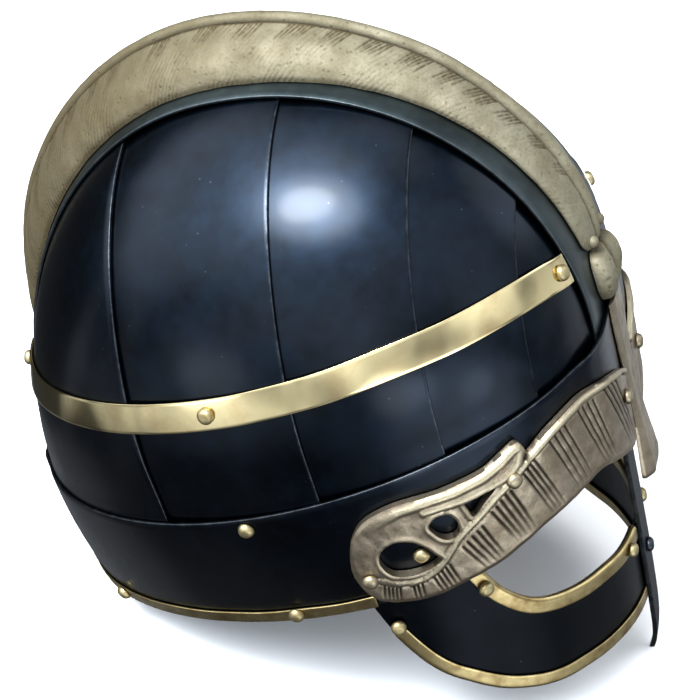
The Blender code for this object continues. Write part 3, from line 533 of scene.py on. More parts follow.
def length_along(points, axis=0):
    """Length in mm along lines of points, from where each line starts."""
    steps = np.linalg.norm(np.diff(points, axis=axis), axis=-1)
    return np.insert(np.cumsum(steps, axis=axis), 0, 0.0, axis=axis)


def edge_distance(grid, ring=False):
    """Distance in millimetres of each point of a grid from the sheet's nearest edge."""
    run = length_along(grid, 1)
    nearest = np.minimum(run, run[:, -1:] - run)
    if not ring:
        run = length_along(grid)
        nearest = np.minimum(nearest, np.minimum(run, run[-1:] - run))
    return nearest


def add_object(name, data):
    """A new object in the scene."""
    thing = bpy.data.objects.new(name, data)
    bpy.context.scene.collection.objects.link(thing)
    return thing


def add_piece(name, points, material, stands_for, faces=None, bevel=0.0, crease=0.0, marks=None):
    """Make one piece of the helmet from points in the head's frame, in place of CAD nodes."""
    mesh = bpy.data.meshes.new(name)
    mesh.from_pydata(to_world(points.reshape(-1, 3)).tolist(), [], faces or loft_faces(*points.shape[:2]))
    for label, values in (marks or {}).items():
        mark = mesh.attributes.new(label, "FLOAT", "POINT")
        mark.data.foreach_set("value", np.asarray(values, np.float32).ravel())
    shape = bmesh.new()
    shape.from_mesh(mesh)
    loose = [corner for corner in shape.verts if not corner.link_faces]
    bmesh.ops.delete(shape, geom=loose, context="VERTS")
    bmesh.ops.recalc_face_normals(shape, faces=shape.faces)
    shape.to_mesh(mesh)
    shape.free()
    mesh.materials.append(material)
    mesh.shade_smooth()
    if crease:
        mesh.set_sharp_from_angle(angle=math.radians(crease))
    piece = add_object(name, mesh)
    if bevel:
        rounding = piece.modifiers.new("rounded_edges", "BEVEL")
        rounding.width = bevel * MM
        rounding.segments = 2
        rounding.limit_method = "ANGLE"
        rounding.angle_limit = math.radians(50)
    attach(piece, "root")
    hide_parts(*stands_for)


def add_sheet(name, outer, inner, material, stands_for, ring=False, kept=None, marks=None, bevel=0.28,
              crease=0.0):
    """A closed sheet between two grids, its edges rounded, its edge distance kept for wear and painted
    highlight.
    """
    both = np.concatenate([outer.reshape(-1, 3), inner.reshape(-1, 3)])
    values = {"edge_mm": edge_distance(outer, ring), **(marks or {})}
    values = {label: np.tile(value.ravel(), 2) for label, value in values.items()}
    faces = sheet_faces(*outer.shape[:2], ring, kept)
    add_piece(name, both, material, stands_for, faces, bevel, crease, values)


def add_sheet_pair(name, outer, inner, material, node, **more):
    """The same sheet on each side of the helmet, made on the wearer's right."""
    for label, side in SIDES:
        add_sheet(f"{name}_finished_{label}", mirrored(outer, side), mirrored(inner, side), material,
                  [f"{node}_{label}"], **more)


def push(grid, amount):
    """Move a grid's points along its own outward normals by amounts in mm."""
    normal = np.cross(np.gradient(grid, axis=0), np.gradient(grid, axis=1))
    normal /= np.maximum(np.linalg.norm(normal, axis=-1, keepdims=True), 1e-9)
    middle = np.array([0.0, STRAP_MIDDLE, EYE_LINE])
    normal *= np.sign((normal * (grid - middle)).sum(-1, keepdims=True).sum())
    return grid + normal * amount[..., None]


def wander(u, v, seed, size):
    """A smooth uneven field, about -1 to 1, over places in mm, with humps of about a size."""
    draw = np.random.default_rng(seed)
    total = 0.0
    for turn, phase, stretch in draw.uniform(0, 1, (7, 3)):
        wave = 2 * size * blend(0.7, 1.6, stretch)
        run = u * math.cos(turn * math.tau) + v * math.sin(turn * math.tau)
        total = total + np.sin((run / wave + phase) * math.tau)
    return total / 3.2


def uneven_cast(u, v, *waves):
    """Unevenness in mm of a cast face, as a sum of fields: the height, seed and size of each."""
    return sum(height * wander(u, v, seed, size) for height, seed, size in waves)


def along_and_away(u, v, start, end):
    """How far places lie along a line from its start, as a share, and how far away from it in mm."""
    (au, av), (bu, bv) = start, end
    du, dv = bu - au, bv - av
    along = np.clip(((u - au) * du + (v - av) * dv) / (du ** 2 + dv ** 2), 0, 1)
    return along, np.hypot(u - au - along * du, v - av - along * dv)


def line_distance(u, v, line):
    """Distance in mm of places from a line of corners."""
    return np.minimum.reduce([along_and_away(u, v, *ends)[1] for ends in zip(line, line[1:])])


def stroke_depth(u, v, start, end, half_width):
    """Depth, as a share, of a file's stroke between two places, deepest near its start."""
    along, away = along_and_away(u, v, start, end)
    return hump(away, half_width) * (1 - along ** 3 * 0.75)


def pits(u, v, seed, count, depth):
    """Depth in mm of small pits left by the sand, about 1 mm wide, scattered over a range of places."""
    draw = np.random.default_rng(seed)
    total = np.zeros(u.shape)
    for share_u, share_v, size, cut in draw.uniform(0, 1, (count, 4)):
        pu, pv = blend(u.min(), u.max(), share_u), blend(v.min(), v.max(), share_v)
        reach = 0.5 * blend(0.6, 1.5, size)
        total += depth * cut * np.exp(-((u - pu) ** 2 + (v - pv) ** 2) / reach ** 2)
    return total


# ---- materials


def linear(colour):
    """The linear value of an sRGB hex colour, opaque."""
    shares = np.array([int(colour[k:k + 2], 16) for k in (1, 3, 5)]) / 255
    return (*np.where(shares <= 0.04045, shares / 12.92, ((shares + 0.055) / 1.055) ** 2.4).tolist(), 1.0)


def add_node(tree, kind, settings=None, links=None, gives=0):
    """Add a node with its settings, link what feeds it, and give one of its outputs."""
    node = tree.nodes.new(f"ShaderNode{kind}")
    for key, value in (settings or {}).items():
        if isinstance(key, str) and hasattr(node, key):
            setattr(node, key, value)
        else:
            node.inputs[key].default_value = value
    for key, source in (links or {}).items():
        tree.links.new(source, node.inputs[key])
    return node.outputs[gives]


def per_size(size_mm):
    """Scale of a pattern whose marks are about a size in mm."""
    return 1.0 / (size_mm * MM)


def share_of(low, high, to_low=0.0, to_high=1.0):
    """Settings that map a range of a value to another, kept inside it."""
    return {"From Min": low, "From Max": high, "To Min": to_low, "To Max": to_high}


def start_material(name, settings, *patterns):
    """A Principled material with even values on its sockets, and noise by size in mm, detail, roughness."""
    material = bpy.data.materials.new(name)
    material.use_nodes = True
    tree = material.node_tree
    for key, value in settings.items():
        tree.nodes["Principled BSDF"].inputs[key].default_value = value
    place = {"Vector": add_node(tree, "TexCoord", gives="Object")}
    noise = [add_node(tree, "TexNoise",
                      {"Scale": per_size(size), "Detail": detail, "Roughness": rough}, place)
             for size, detail, rough in patterns]
    return material, tree, place, noise


def lay_colours(tree, base, *layers):
    """Lay colours over a base: what each follows, its range there, its share at both ends, and its hex."""
    settings, below = {6: linear(base)}, {}
    for source, *reach, colour in layers:
        share = add_node(tree, "MapRange", share_of(*reach), {"Value": source})
        settings = {"data_type": "RGBA", **settings, 7: linear(colour)}
        below = {6: add_node(tree, "Mix", settings, {0: share, **below}, 2)}
        settings = {}
    return below[6]


def finish_material(material, colour, dullness=(), relief=()):
    """Link a colour, the roughness by what it follows and its range, and bumps by their depth in mm."""
    tree = material.node_tree
    wanted = {"Base Color": colour}
    if dullness:
        source, *reach = dullness
        wanted["Roughness"] = add_node(tree, "MapRange", share_of(*reach), {"Value": source})
    normal = {}
    for height, depth in relief:
        normal = {"Normal": add_node(tree, "Bump", {"Distance": depth * MM}, {"Height": height, **normal})}
    for key, source in {**wanted, **normal}.items():
        tree.links.new(source, tree.nodes["Principled BSDF"].inputs[key])
    return material


def make_blackened_steel(name, first, second, rough, coat):
    """Mild steel sheet, planished, heat-blackened and oiled: near black, with a soft haze round lights."""
    # Planishing leaves humps about 22 mm across, and the scale on the sheet has an orange peel of about
    # 1.6 mm, drawn coarser than the real 0.8 mm so that it shows
    material, tree, place, (humps, cloud, peel, scuffs) = start_material(
        name, {"Metallic": 1.0, "Coat Weight": coat, "Coat Roughness": 0.14, "Coat IOR": 1.38},
        (22.0, 2.0, 0.5), (16.0, 4.0, 0.6), (1.6, 3.0, 0.6), (4.0, 6.0, 0.7))
    # Handling rubs each edge's outer millimetre, in broken stretches; its pale grey is also a painted
    # highlight
    edge = add_node(tree, "Attribute", {"attribute_name": "edge_mm"}, gives="Fac")
    near_edge = add_node(tree, "MapRange", share_of(0.0, 1.2, 0.72, 0.0), {"Value": edge})
    broken = add_node(tree, "MapRange", share_of(0.35, 0.7, -0.30, 0.25), {"Value": scuffs})
    edge_wear_and_highlight = add_node(tree, "Math", {"operation": "ADD"}, {0: near_edge, 1: broken})
    edge_wear_and_highlight = add_node(tree, "MapRange", share_of(0.25, 0.8, 0.0, 0.5), {"Value": edge_wear_and_highlight})
    within = add_node(tree, "MapRange", share_of(0.7, 1.5, 1.0, 0.0), {"Value": edge})
    edge_wear_and_highlight = add_node(tree, "Math", {"operation": "MULTIPLY"}, {0: edge_wear_and_highlight, 1: within})
    # Dust and bright pinholes, about 0.3 mm wide
    specks = add_node(tree, "TexVoronoi", {"Scale": per_size(6.5)}, place)
    colour = lay_colours(
        tree, first, (cloud, 0.35, 0.65, 0.0, 1.0, second), (edge_wear_and_highlight, 0.0, 1.0, 0.0, 1.0, "#505356"),
        (specks, 0.02, 0.05, 0.5, 0.0, "#5c5f62"))
    return finish_material(material, colour, (scuffs, 0.3, 0.75, rough, rough + 0.09),
                           ((humps, 0.06), (peel, 0.011)))


def make_polished_brass():
    """Brass strip, buffed bright: a mirror with fine scratches along it and a few brown stains."""
    material, tree, _, (stains, fine, humps) = start_material(
        "brass_strip_polished", {"Metallic": 1.0}, (14.0, 5.0, 0.6), (0.8, 3.0, 0.5), (12.0, 2.0, 0.5))
    colour = lay_colours(tree, "#d8c695", (stains, 0.50, 0.80, 0.0, 0.5, "#a87d4a"))
    return finish_material(material, colour, (stains, 0.3, 0.8, 0.06, 0.18), ((humps, 0.03), (fine, 0.002)))


def make_worn_brass(name, bright, stained, rough):
    """Folded strip or a peened rivet, handled: satin, with tarnish where hands don't rub it."""
    material, tree, _, (stains, fine, humps) = start_material(
        name, {"Metallic": 1.0}, (9.0, 5.0, 0.6), (1.2, 4.0, 0.5), (6.0, 2.0, 0.5))
    colour = lay_colours(tree, bright, (stains, 0.44, 0.68, 0.0, 0.85, stained))
    return finish_material(material, colour, (stains, 0.3, 0.75, rough, rough + 0.16),
                           ((humps, 0.08), (fine, 0.008)))


def make_cast_brass():
    """Sand-cast brass, filed and brushed: pale olive gold on high places, brown left in the low ones, with
    painted shade toward the nape, at the crest's foot and at the head's ends.
    """
    # Sand grains of about 0.5 mm, drawn at 1.1 mm so that they show
    material, tree, place, (patches, grit, lumps) = start_material(
        "brass_sand_cast_filed", {"Metallic": 1.0}, (14.0, 5.0, 0.6), (1.1, 4.0, 0.7), (4.0, 3.0, 0.5))
    low = add_node(tree, "Attribute", {"attribute_name": "low_mm"}, gives="Fac")
    holes = add_node(tree, "TexVoronoi", {"Scale": per_size(3.2)}, place)
    pinhole = add_node(tree, "MapRange", share_of(0.06, 0.22, 1.0, 0.0), {"Value": holes})
    # The nape end is painted browner and darker: painted shade, as the light falls from the front. Brown
    # stays between the grains, in the pinholes and down in the cuts, and the feet of the castings are
    # darkened as painted shade
    run = add_node(tree, "SeparateXYZ", links={0: place["Vector"]}, gives="Y")
    colour = lay_colours(
        tree, "#8c8672", (patches, 0.36, 0.66, 0.0, 0.9, "#766f5a"), (run, 0.0, 0.11, 0.0, 0.75, "#5a4f38"),
        (grit, 0.34, 0.52, 0.4, 0.0, "#62573f"), (pinhole, 0.0, 1.0, 0.0, 0.4, "#473b26"),
        (low, 0.08, 0.55, 0.0, 0.85, "#453a27"))
    return finish_material(material, colour, (patches, 0.3, 0.7, 0.70, 0.80),
                           ((lumps, 0.12), (grit, 0.15), (pinhole, -0.12)))


def make_cast_bronze():
    """Cast bronze, antiqued: dull brown-grey, rubbed brighter on the ridges, near black in the cuts."""
    # Sand grains of about 0.5 mm, drawn at 1 mm so that they show
    material, tree, _, (patches, grit, lumps) = start_material(
        "bronze_cast_antiqued", {"Metallic": 1.0}, (8.0, 5.0, 0.6), (1.0, 4.0, 0.7), (3.0, 3.0, 0.5))
    low, high = (add_node(tree, "Attribute", {"attribute_name": mark}, gives="Fac")
                 for mark in ("low_mm", "high_mm"))
    colour = lay_colours(
        tree, "#a99b85", (patches, 0.35, 0.65, 0.0, 0.9, "#837560"), (grit, 0.32, 0.52, 0.5, 0.0, "#5a4f42"),
        (high, 0.15, 0.8, 0.0, 0.7, "#b3a98c"), (low, 0.04, 0.42, 0.0, 0.94, "#1d1812"))
    return finish_material(material, colour, (patches, 0.3, 0.7, 0.34, 0.46), ((lumps, 0.08), (grit, 0.11)))


def make_floor_paper():
    """Matt pale card under the helmet: plain, with a faint unevenness."""
    material, tree, _, (cloud,) = start_material("card_matt_pale", {"Roughness": 0.75}, (400.0, 2.0, 0.5))
    return finish_material(material, lay_colours(tree, "#d0d0cf", (cloud, 0.0, 1.0, 0.0, 1.0, "#cbcbcb")))


STEEL = make_blackened_steel("mild_steel_blackened_oiled", "#0a1017", "#101923", 0.30, 0.30)
# The strap: the blackened steel, rougher, its colour a lighter green-grey as a painted sheen beside the crest
SHEEN_STEEL = make_blackened_steel("mild_steel_blackened_painted_sheen", "#2c3334", "#3a4344", 0.40, 0.15)
# The guards and the nose bar: the blackened steel left rougher, with less coat, its colour painted darker as
# shade
SHADED_STEEL = make_blackened_steel("mild_steel_blackened_painted_shade", "#06090d", "#0a0e13", 0.40, 0.12)
MIRROR_BRASS = make_polished_brass()
TRIM_BRASS = make_worn_brass("brass_trim_worn", "#b3a070", "#745a34", 0.24)
RIVET_BRASS = make_worn_brass("brass_rivet_peened", "#a99b74", "#83714a", 0.38)
RIVET_BRONZE = make_worn_brass("bronze_rivet_peened", "#9b8f76", "#746650", 0.36)
CAST_BRASS = make_cast_brass()
BRONZE = make_cast_bronze()


# ---- steel pieces


def make_strap():
    """Strap from the nape over the crown to the brow."""
    rear = slant(EYE_LINE - STRAP_REAR_END, REAR_REACH - REAR_TUCK - STRAP_MIDDLE)
    front = 180 + slant(EYE_LINE - STRAP_FRONT_END, FRONT_REACH + STRAP_MIDDLE)
    angle = np.linspace(-rear, front, 180)[:, None]
    half = STRAP_HALF_WIDTH * blend(1.0, STRAP_SPREAD, follow(STRAP_LINE, angle))
    across = np.linspace(-1, 1, 23) * half
    add_sheet("strap_finished", over_crown(angle, across, FIT + PLATE), over_crown(angle, across, FIT),
              SHEEN_STEEL, ["nose_to_nape_strap"])


def make_brow_band():
    """Brow band right round the skull, arched over the eyes."""
    angle = np.linspace(-90, 270, 288, endpoint=False)
    height = between(brow_band_bottom(angle), at_height(angle, brow_band_top), 16)
    angle = angle[:, None]
    add_sheet("brow_band_finished", lifted(angle, height, PLATE), lifted(angle, height), STEEL, ["brow_band"],
              ring=True)


def plate_point(origin_y, turn, rise):
    """Points of the skull in a plate's own directions from inside the head."""
    direction = vectors(-np.cos(rise) * np.cos(turn), np.sin(turn), np.sin(rise) * np.cos(turn))
    return cast(vectors(0, origin_y, EYE_LINE), direction)


def plate_lines(origin_y, turn):
    """Rise, in radians, where a plate's lines start under the brow band and end under the strap."""

    def under_band(rise):
        point = plate_point(origin_y, turn, rise)
        return point[..., 2] < brow_band_top(point) - PLATE_TUCK

    def beside_strap(rise):
        return np.abs(plate_point(origin_y, turn, rise)[..., 0]) > STRAP_HALF_WIDTH - LAP

    start = settle(np.full(turn.shape, -1.2), np.full(turn.shape, 1.5), under_band, 22)
    return start, settle(start, np.full(turn.shape, math.pi / 2), beside_strap, 22)


def make_plates():
    """Five skull plates a side, each one's front edge lapped over the next plate."""
    places = [share * (REAR_REACH if share > 0 else FRONT_REACH) for share in SEAMS]
    lap, main = 6, 44
    shown = np.concatenate([np.zeros(lap), np.linspace(0, 1, main)])
    lines = [(np.full(main, places[0]), np.radians(np.linspace(REAR_PLATE_TURN, 0, main)), np.ones(main))]
    for rear, front, turn in zip(places, places[1:] + places[-1:], (0, 0, 0, FRONT_PLATE_TURN)):
        origin = np.concatenate([np.linspace(rear + LAP, rear, lap, endpoint=False),
                                 np.linspace(rear, front, main)])
        turn = np.concatenate([np.zeros(lap), np.radians(np.linspace(0, turn, main))])
        lines.append((origin, turn, shown))
    for number, (origin, turn, share) in enumerate(lines, start=1):
        rise = between(*plate_lines(origin, turn), 48)
        base = plate_point(origin[:, None], turn[:, None], rise)
        normal = normal_at(base)
        above = base[..., 2] - brow_band_top(base)
        # A plate's rear lies under the one behind it, and its foot flares over the last 9 mm above the band
        sink = -(PLATE + FIT) * (1 - share)[:, None] + PLATE_FOOT_FLARE * (1 - ease(above / 9.0))
        for label, side in SIDES:
            uneven = PLATE_UNEVEN * wander(base[..., 1], base[..., 2] + np.abs(base[..., 0]) / 2,
                                           number * 7 + side, 24.0)
            outer = base + normal * (sink + uneven)[..., None]
            inner = base + normal * (sink - PLATE)[..., None]
            add_sheet(f"plate_{number}_finished_{label}", mirrored(outer, side), mirrored(inner, side), STEEL,
                      [f"skull_plate_{number}_{label}"])


def make_nasal_bar():
    """Flat bar from behind the brow band down to its leaf-shaped tip."""
    share = np.linspace(0, 1, 130)
    level = blend(BAR_TOP_HEIGHT, BAR_TIP_HEIGHT, share)[:, None]
    across = np.linspace(-1, 1, 13) * (BAR_HALF_WIDTH * follow(BAR_STATIONS, share))[:, None]
    add_sheet("nasal_bar_finished", vectors(across, bar_front(level), level),
              vectors(across, bar_front(level) + BAR_SHEET, level), SHADED_STEEL, ["nasal_bar"], bevel=0.45)


def make_guards():
    """Crescent guard under each eye."""
    from_nose = np.linspace(slant(GUARD_NOSE_GAP, FRONT_REACH), GUARD_BOTTOM[-1][0], 150)
    height = between(*guard_span(from_nose), 16)
    from_nose = from_nose[:, None]
    add_sheet_pair("guard", guard_point(from_nose, height), guard_point(from_nose, height, -PLATE),
                   SHADED_STEEL, "eye_guard")


# ---- brass strip and rivets


def make_side_bands():
    """Polished band along each side, dipping a little where it crosses the plates' seams."""
    clear = STRAP_HALF_WIDTH * STRAP_SPREAD + SIDE_BAND_END_GAP
    front, rear = slant(clear, FRONT_REACH * 0.97) - 90, 90 - slant(clear, REAR_REACH * 0.88)
    angle = np.linspace(front, rear, 190)[:, None]
    height = at_height(angle, side_band_middle) + BAND_WIDTH / 2 * np.linspace(-1, 1, 11)
    spot = around(angle, height)
    run = spot[..., 1]
    uneven = BAND_UNEVEN * wander(run, 0, 5, 11.0)
    for share in SEAMS:
        seam = share * (REAR_REACH if share > 0 else FRONT_REACH)
        uneven = uneven - BAND_SEAM_DIP * hump(run - seam + 3.0, 3.4)
    normal = normal_at(spot)
    add_sheet_pair("side_band", spot + normal * (FIT + BAND_SHEET + uneven)[..., None], spot + normal * FIT,
                   MIRROR_BRASS, "side_band", bevel=0.12)


def folded_section():
    """Depths and lifts round a strip folded over a sheet's edge, with a round fold."""
    near = PLATE / 2 + FIT
    far = near + TRIM_SHEET
    lip = -FIT - TRIM_SHEET
    top, centre = TRIM_DEPTH + lip, lip + far
    depth, lift = [], []
    for radius, count, way in ((far, 6, 1), (near, 3, -1)):
        fold = np.radians(np.linspace(90, -90, 13))[1:-1] * way
        depth += [np.linspace(top, centre, count), centre - radius * np.cos(fold),
                  np.linspace(centre, top, count)]
        lift += [np.full(count, way * radius), radius * np.sin(fold), np.full(count, -way * radius)]
    return np.concatenate(depth), np.concatenate(lift)


def make_rim_trim():
    """Folded strip along the lower edge of the brow band, from eyebrow to eyebrow."""
    start = EYEBROW_SPAN * RIM_TRIM_START - 90
    angle = np.linspace(start, 180 - start, 240)[:, None]
    depth, lift = folded_section()
    depth = depth * (1 + 0.03 * wander(angle * 2, 0, 3, 14.0))
    add_piece("rim_trim_finished", lifted(angle, brow_band_bottom(angle) + depth, PLATE / 2 + lift),
              TRIM_BRASS, ["rim_trim"], bevel=0.25)


def make_guard_trims():
    """Folded strips along each guard's lower and upper edge."""
    nose = slant(BAR_HALF_WIDTH + GUARD_NOSE_GAP, FRONT_REACH)
    radius = (GUARD_HALF_BREADTH + FRONT_REACH) / 2
    depth, lift = folded_section()
    for index, (edge_name, last) in enumerate(GUARD_TRIM_ENDS.items()):
        inward = 1 - 2 * index
        from_nose = np.linspace(nose, last, 150)[:, None]
        rise = guard_span(from_nose + 0.5)[index] - guard_span(from_nose - 0.5)[index]
        length = np.hypot(math.radians(1.0) * radius, rise)
        along, up = math.radians(1.0) * radius / length, rise / length
        turn = from_nose - np.degrees(up * depth * inward / radius)
        height = guard_span(from_nose)[index] + along * depth * inward
        points = guard_point(turn, height, lift - PLATE / 2)
        for label, side in SIDES:
            add_piece(f"guard_trim_{edge_name}_finished_{label}", mirrored(points, side), TRIM_BRASS,
                      [f"guard_trim_{edge_name}_{label}"], bevel=0.25)


def add_rivet(name, seat, normal, material):
    """A hand-set rivet's domed head on its seat, a little out of round and leaning, by its own draw."""
    draw = np.random.default_rng(sum(name.encode()))
    radii, rises = (np.array(column)[:, None] for column in zip(*RIVET_SECTION))
    turn = np.linspace(0, math.tau, 28, endpoint=False)
    lobes, phase = draw.integers(2, 5), draw.uniform(0, math.tau)
    reach = radii * (RIVET_RADIUS * (1 + 0.022 * np.sin(turn * lobes + phase) - 0.02))
    lean = draw.uniform(-0.05, 0.05, 2)
    x, y = reach * np.cos(turn), reach * np.sin(turn)
    z = RIVET_RISE * rises * (1 + lean[0] * x / RIVET_RADIUS + lean[1] * y / RIVET_RADIUS)
    z = np.minimum(z, RIVET_RISE * draw.uniform(0.93, 0.99))
    facing = np.array(Vector((0, 0, 1)).rotation_difference(Vector(normal)).to_matrix())
    add_piece(f"{name}_finished", vectors(x, y, z) @ facing.T + seat + normal * FIT, material, [name])


def add_rivet_pair(name, seat, normal, material=RIVET_BRASS):
    """Put a rivet on each side of the helmet, given the place on the wearer's right."""
    for label, side in SIDES:
        add_rivet(f"{name}_{label}", mirrored(seat, side), mirrored(normal, side), material)


def make_rivets():
    """Every rivet that shows, seated on the sheet or casting that it holds."""
    for place, angle in (("front", -72.6), ("middle", 3.8), ("rear", 71.5)):
        base = around(angle, at_height(angle, side_band_middle))
        normal = normal_at(base)
        add_rivet_pair(f"side_band_rivet_{place}", base + normal * (FIT + BAND_SHEET), normal)
    for name, angle, height, lift in (
            ("brow_band_rivet_side", 3.4, BROW_BAND_HEIGHT * 0.907, PLATE),
            ("brow_band_rivet_front", EYEBROW_SPAN * 0.800 - 90, EYEBROW_HEIGHT * 0.425, PLATE),
            ("rim_rivet_side", 0.3, rim_line(0.3) + TRIM_DEPTH * 0.7, PLATE + FIT + TRIM_SHEET),
            ("rim_rivet_rear", 53.3, rim_line(53.3) + TRIM_DEPTH * 0.7, PLATE + FIT + TRIM_SHEET)):
        add_rivet_pair(name, lifted(angle, height, lift), normal_at(around(angle, height)))
    for place, share, rise in (("outer", 0.956, 0.358), ("middle", 0.534, 0.764), ("inner", 0.127, 0.671)):
        height = EYEBROW_HEIGHT * rise
        seat = eyebrow_point(share, height, EYEBROW_THICKNESS * follow(EYEBROW_BODY, share))
        normal = normal_at(around(EYEBROW_SPAN * share - 90, height))
        add_rivet_pair(f"eyebrow_rivet_{place}", seat, normal, RIVET_BRONZE)
    for place, from_nose, drop, lift in (("rear", 68.0, 0.131, FIT),
                                         ("upper", 46.9, 0.038, CAST_FIT + FIT / 2),
                                         ("nose", 9.0, 0.492, CAST_FIT + FIT / 2)):
        height = -GUARD_DROP * drop
        seat = guard_point(from_nose, height, TRIM_SHEET + lift)
        out = guard_point(from_nose, height, FIT + TRIM_SHEET + 1.0) - seat
        add_rivet_pair(f"guard_rivet_{place}", seat, out / np.linalg.norm(out))
    add_rivet("nasal_bar_rivet", vectors(0, bar_front(BAR_RIVET_HEIGHT), BAR_RIVET_HEIGHT),
              np.array([0.0, -1.0, 0.0]), STEEL)


# ---- castings


def ball(radius, centre):
    """Points of a small ball."""
    climb = np.radians(np.linspace(-86, 86, 17))[:, None]
    turn = np.linspace(0, math.tau, 26, endpoint=False)
    reach = np.cos(climb)
    return vectors(reach * np.cos(turn), reach * np.sin(turn), np.sin(climb)) * radius + centre


def rounded(run, reach):
    """Height, as a share, of a round end over its first stretch in mm."""
    return np.sqrt(1 - (1 - np.clip(run / reach, 0, 1)) ** 2)


def crest_cuts(run, down, across):
    """Depth in mm of the cut strokes and file lines on the crest's cheeks, by mm along and down them."""
    length = run[-1, 0]
    side_shift = np.where(across < 0, 0.0, 3.1)
    cut = np.zeros(down.shape)
    draw = np.random.default_rng(11)
    for place, count, depth, reach in CREST_STROKES:
        for k in range(count):
            slip, long = draw.uniform(-0.25, 0.25), reach * draw.uniform(0.8, 1.15)
            lean = math.radians(draw.uniform(*STROKE_LEAN))
            start = place * length + STROKE_PITCH * (k - count / 2) + slip
            end = (start - long * math.cos(lean), STROKE_TOP + long * math.sin(lean))
            stroke = stroke_depth(run - side_shift, down, (start, STROKE_TOP), end, STROKE_HALF_WIDTH)
            cut = np.maximum(cut, depth * stroke)
    # Coarse filing slants across the cheeks in patches, most of it toward the nape
    lines = 0.5 + 0.5 * np.cos((run + FILE_LINE_SLANT * down) / FILE_LINE_PITCH * math.tau
                               + 1.1 * wander(run, down, 17, 6.0))
    patch = np.clip(0.55 + 0.9 * wander(run, down, 18, 11.0), 0, 1) * blend(1.0, 0.25, run / length)
    cut = np.maximum(cut, FILE_LINE_DEPTH * lines ** 3 * patch)
    return cut * ease((down + 0.4) / 0.8) * (0.75 + 0.25 * wander(run, down, 16, 1.2))


def make_crest():
    """Cast crest along the strap: two cheeks with cut strokes, a groove and a bead along the ridge."""
    angle = np.linspace(CREST_REAR_ANGLE, CREST_FRONT_ANGLE, 800)
    share = (angle - CREST_REAR_ANGLE) / (CREST_FRONT_ANGLE - CREST_REAR_ANGLE)
    base, up = crown_frame(angle)
    height = CREST_HEIGHT * follow(CREST_STATIONS, share, 2)
    run = length_along(base + up * height[:, None])
    tip = rounded(run[-1] - run, CREST_FRONT_ROUNDING) * 0.62 + 0.38
    tip = tip * (rounded(run, CREST_REAR_ROUNDING) * 0.5 + 0.5)
    height = height * blend(0.55, 1.0, tip)
    peak = base + up * height[:, None]
    half = CREST_HALF_WIDTH * follow(CREST_STATIONS, share) * tip * (1 + 0.010 * wander(run, 0, 21, 7.0))
    edge = over_crown(angle, -half, CAST_SEAT)
    climb = np.linalg.norm((peak - edge)[:, 1:], axis=-1)[:, None]
    bead = (CREST_BEAD * np.clip(height / 10.0, 0.42, 1.0))[:, None]
    # Each cheek climbs from the seat and turns into the groove beside the bead, which goes round the ridge
    step = 1 - (1 - np.linspace(0, 1, 42)) ** 1.3
    toward_bead = ease((step - 0.62) / 0.38)
    across = blend(follow(CREST_CHEEK, step) * half[:, None], bead + 0.9, toward_bead)
    rise = blend(follow(CREST_CHEEK, step, 2), 1.01 - bead * 1.08 / climb, toward_bead)
    turn = np.radians(np.linspace(-38, 218, 15))
    across = np.concatenate([-across, -bead * np.cos(turn), across[:, ::-1]], axis=1)
    rise = np.concatenate([rise, 1.01 - bead * (1 - np.sin(turn)) / climb, rise[:, ::-1]], axis=1)
    grid = vectors(across, blend(edge[:, 1:2], peak[:, 1:2], rise), blend(edge[:, 2:], peak[:, 2:], rise))
    # Millimetres down each cheek from its groove, and -9 on the bead, which has no strokes
    down, cheek = length_along(grid, 1), len(step)
    width = down[:, cheek - 1:cheek]
    down = np.concatenate([width - down[:, :cheek], np.full((len(run), len(turn)), -9.0),
                           down[:, -cheek:] - down[:, -cheek:-cheek + 1]], axis=1)
    run = run[:, None] + 0 * down
    cut = crest_cuts(run, down, across)
    pitted = pits(run, across, 12, 110, 0.18)
    # Darker near the foot of each cheek, where it meets the strap: painted shade. The cuts, the pits and the
    # groove under the bead darken as hollows
    foot_shade = np.clip(1 - (width - down) / 3.2, 0, 1) * (down > -1)
    low = 1.9 * cut + pitted + 0.60 * hump(down + 0.1, 0.7) + 0.22 * foot_shade
    uneven = uneven_cast(run, down, (0.09, 13, 9.0), (0.06, 14, 3.2))
    grid = push(grid, uneven * ease((across ** 2) / 4.0) + 0.05 * wander(run, across, 15, 6.0) - cut
                - 0.6 * pitted)
    seat = over_crown(angle[:, None], half[:, None] * np.linspace(0.9, -0.9, 7), CAST_SEAT)
    points = np.concatenate([grid, seat], axis=1)
    faces = loft_faces(*points.shape[:2])
    points, low = points.reshape(-1, 3), np.concatenate([low, np.zeros(seat.shape[:2])], axis=1).ravel()
    for _, side in SIDES:
        place = over_crown(CREST_FRONT_ANGLE - CREST_EYE_SETBACK, CREST_EYE_PLACE * side,
                           CAST_SEAT + CREST_EYE_RISE)
        eye = ball(CREST_EYE_RADIUS, place)
        faces += [[corner + len(points) for corner in face] for face in loft_faces(*eye.shape[:2])]
        points = np.concatenate([points, eye.reshape(-1, 3)])
        low = np.append(low, np.full(eye[..., 0].size, 0.05))
    add_piece("crest_finished", points, CAST_BRASS, ["crest"], faces, crease=48.0, marks={"low_mm": low})


def add_casting(name, grid, under, material, stands_for, crease, **marks):
    """A casting from its shown face and the row of points across its plain back."""
    marks = {label: np.pad(value, ((0, 0), (0, under.shape[1]))) for label, value in marks.items()}
    add_piece(name, np.concatenate([grid, under], axis=1), material, stands_for, crease=crease, marks=marks)


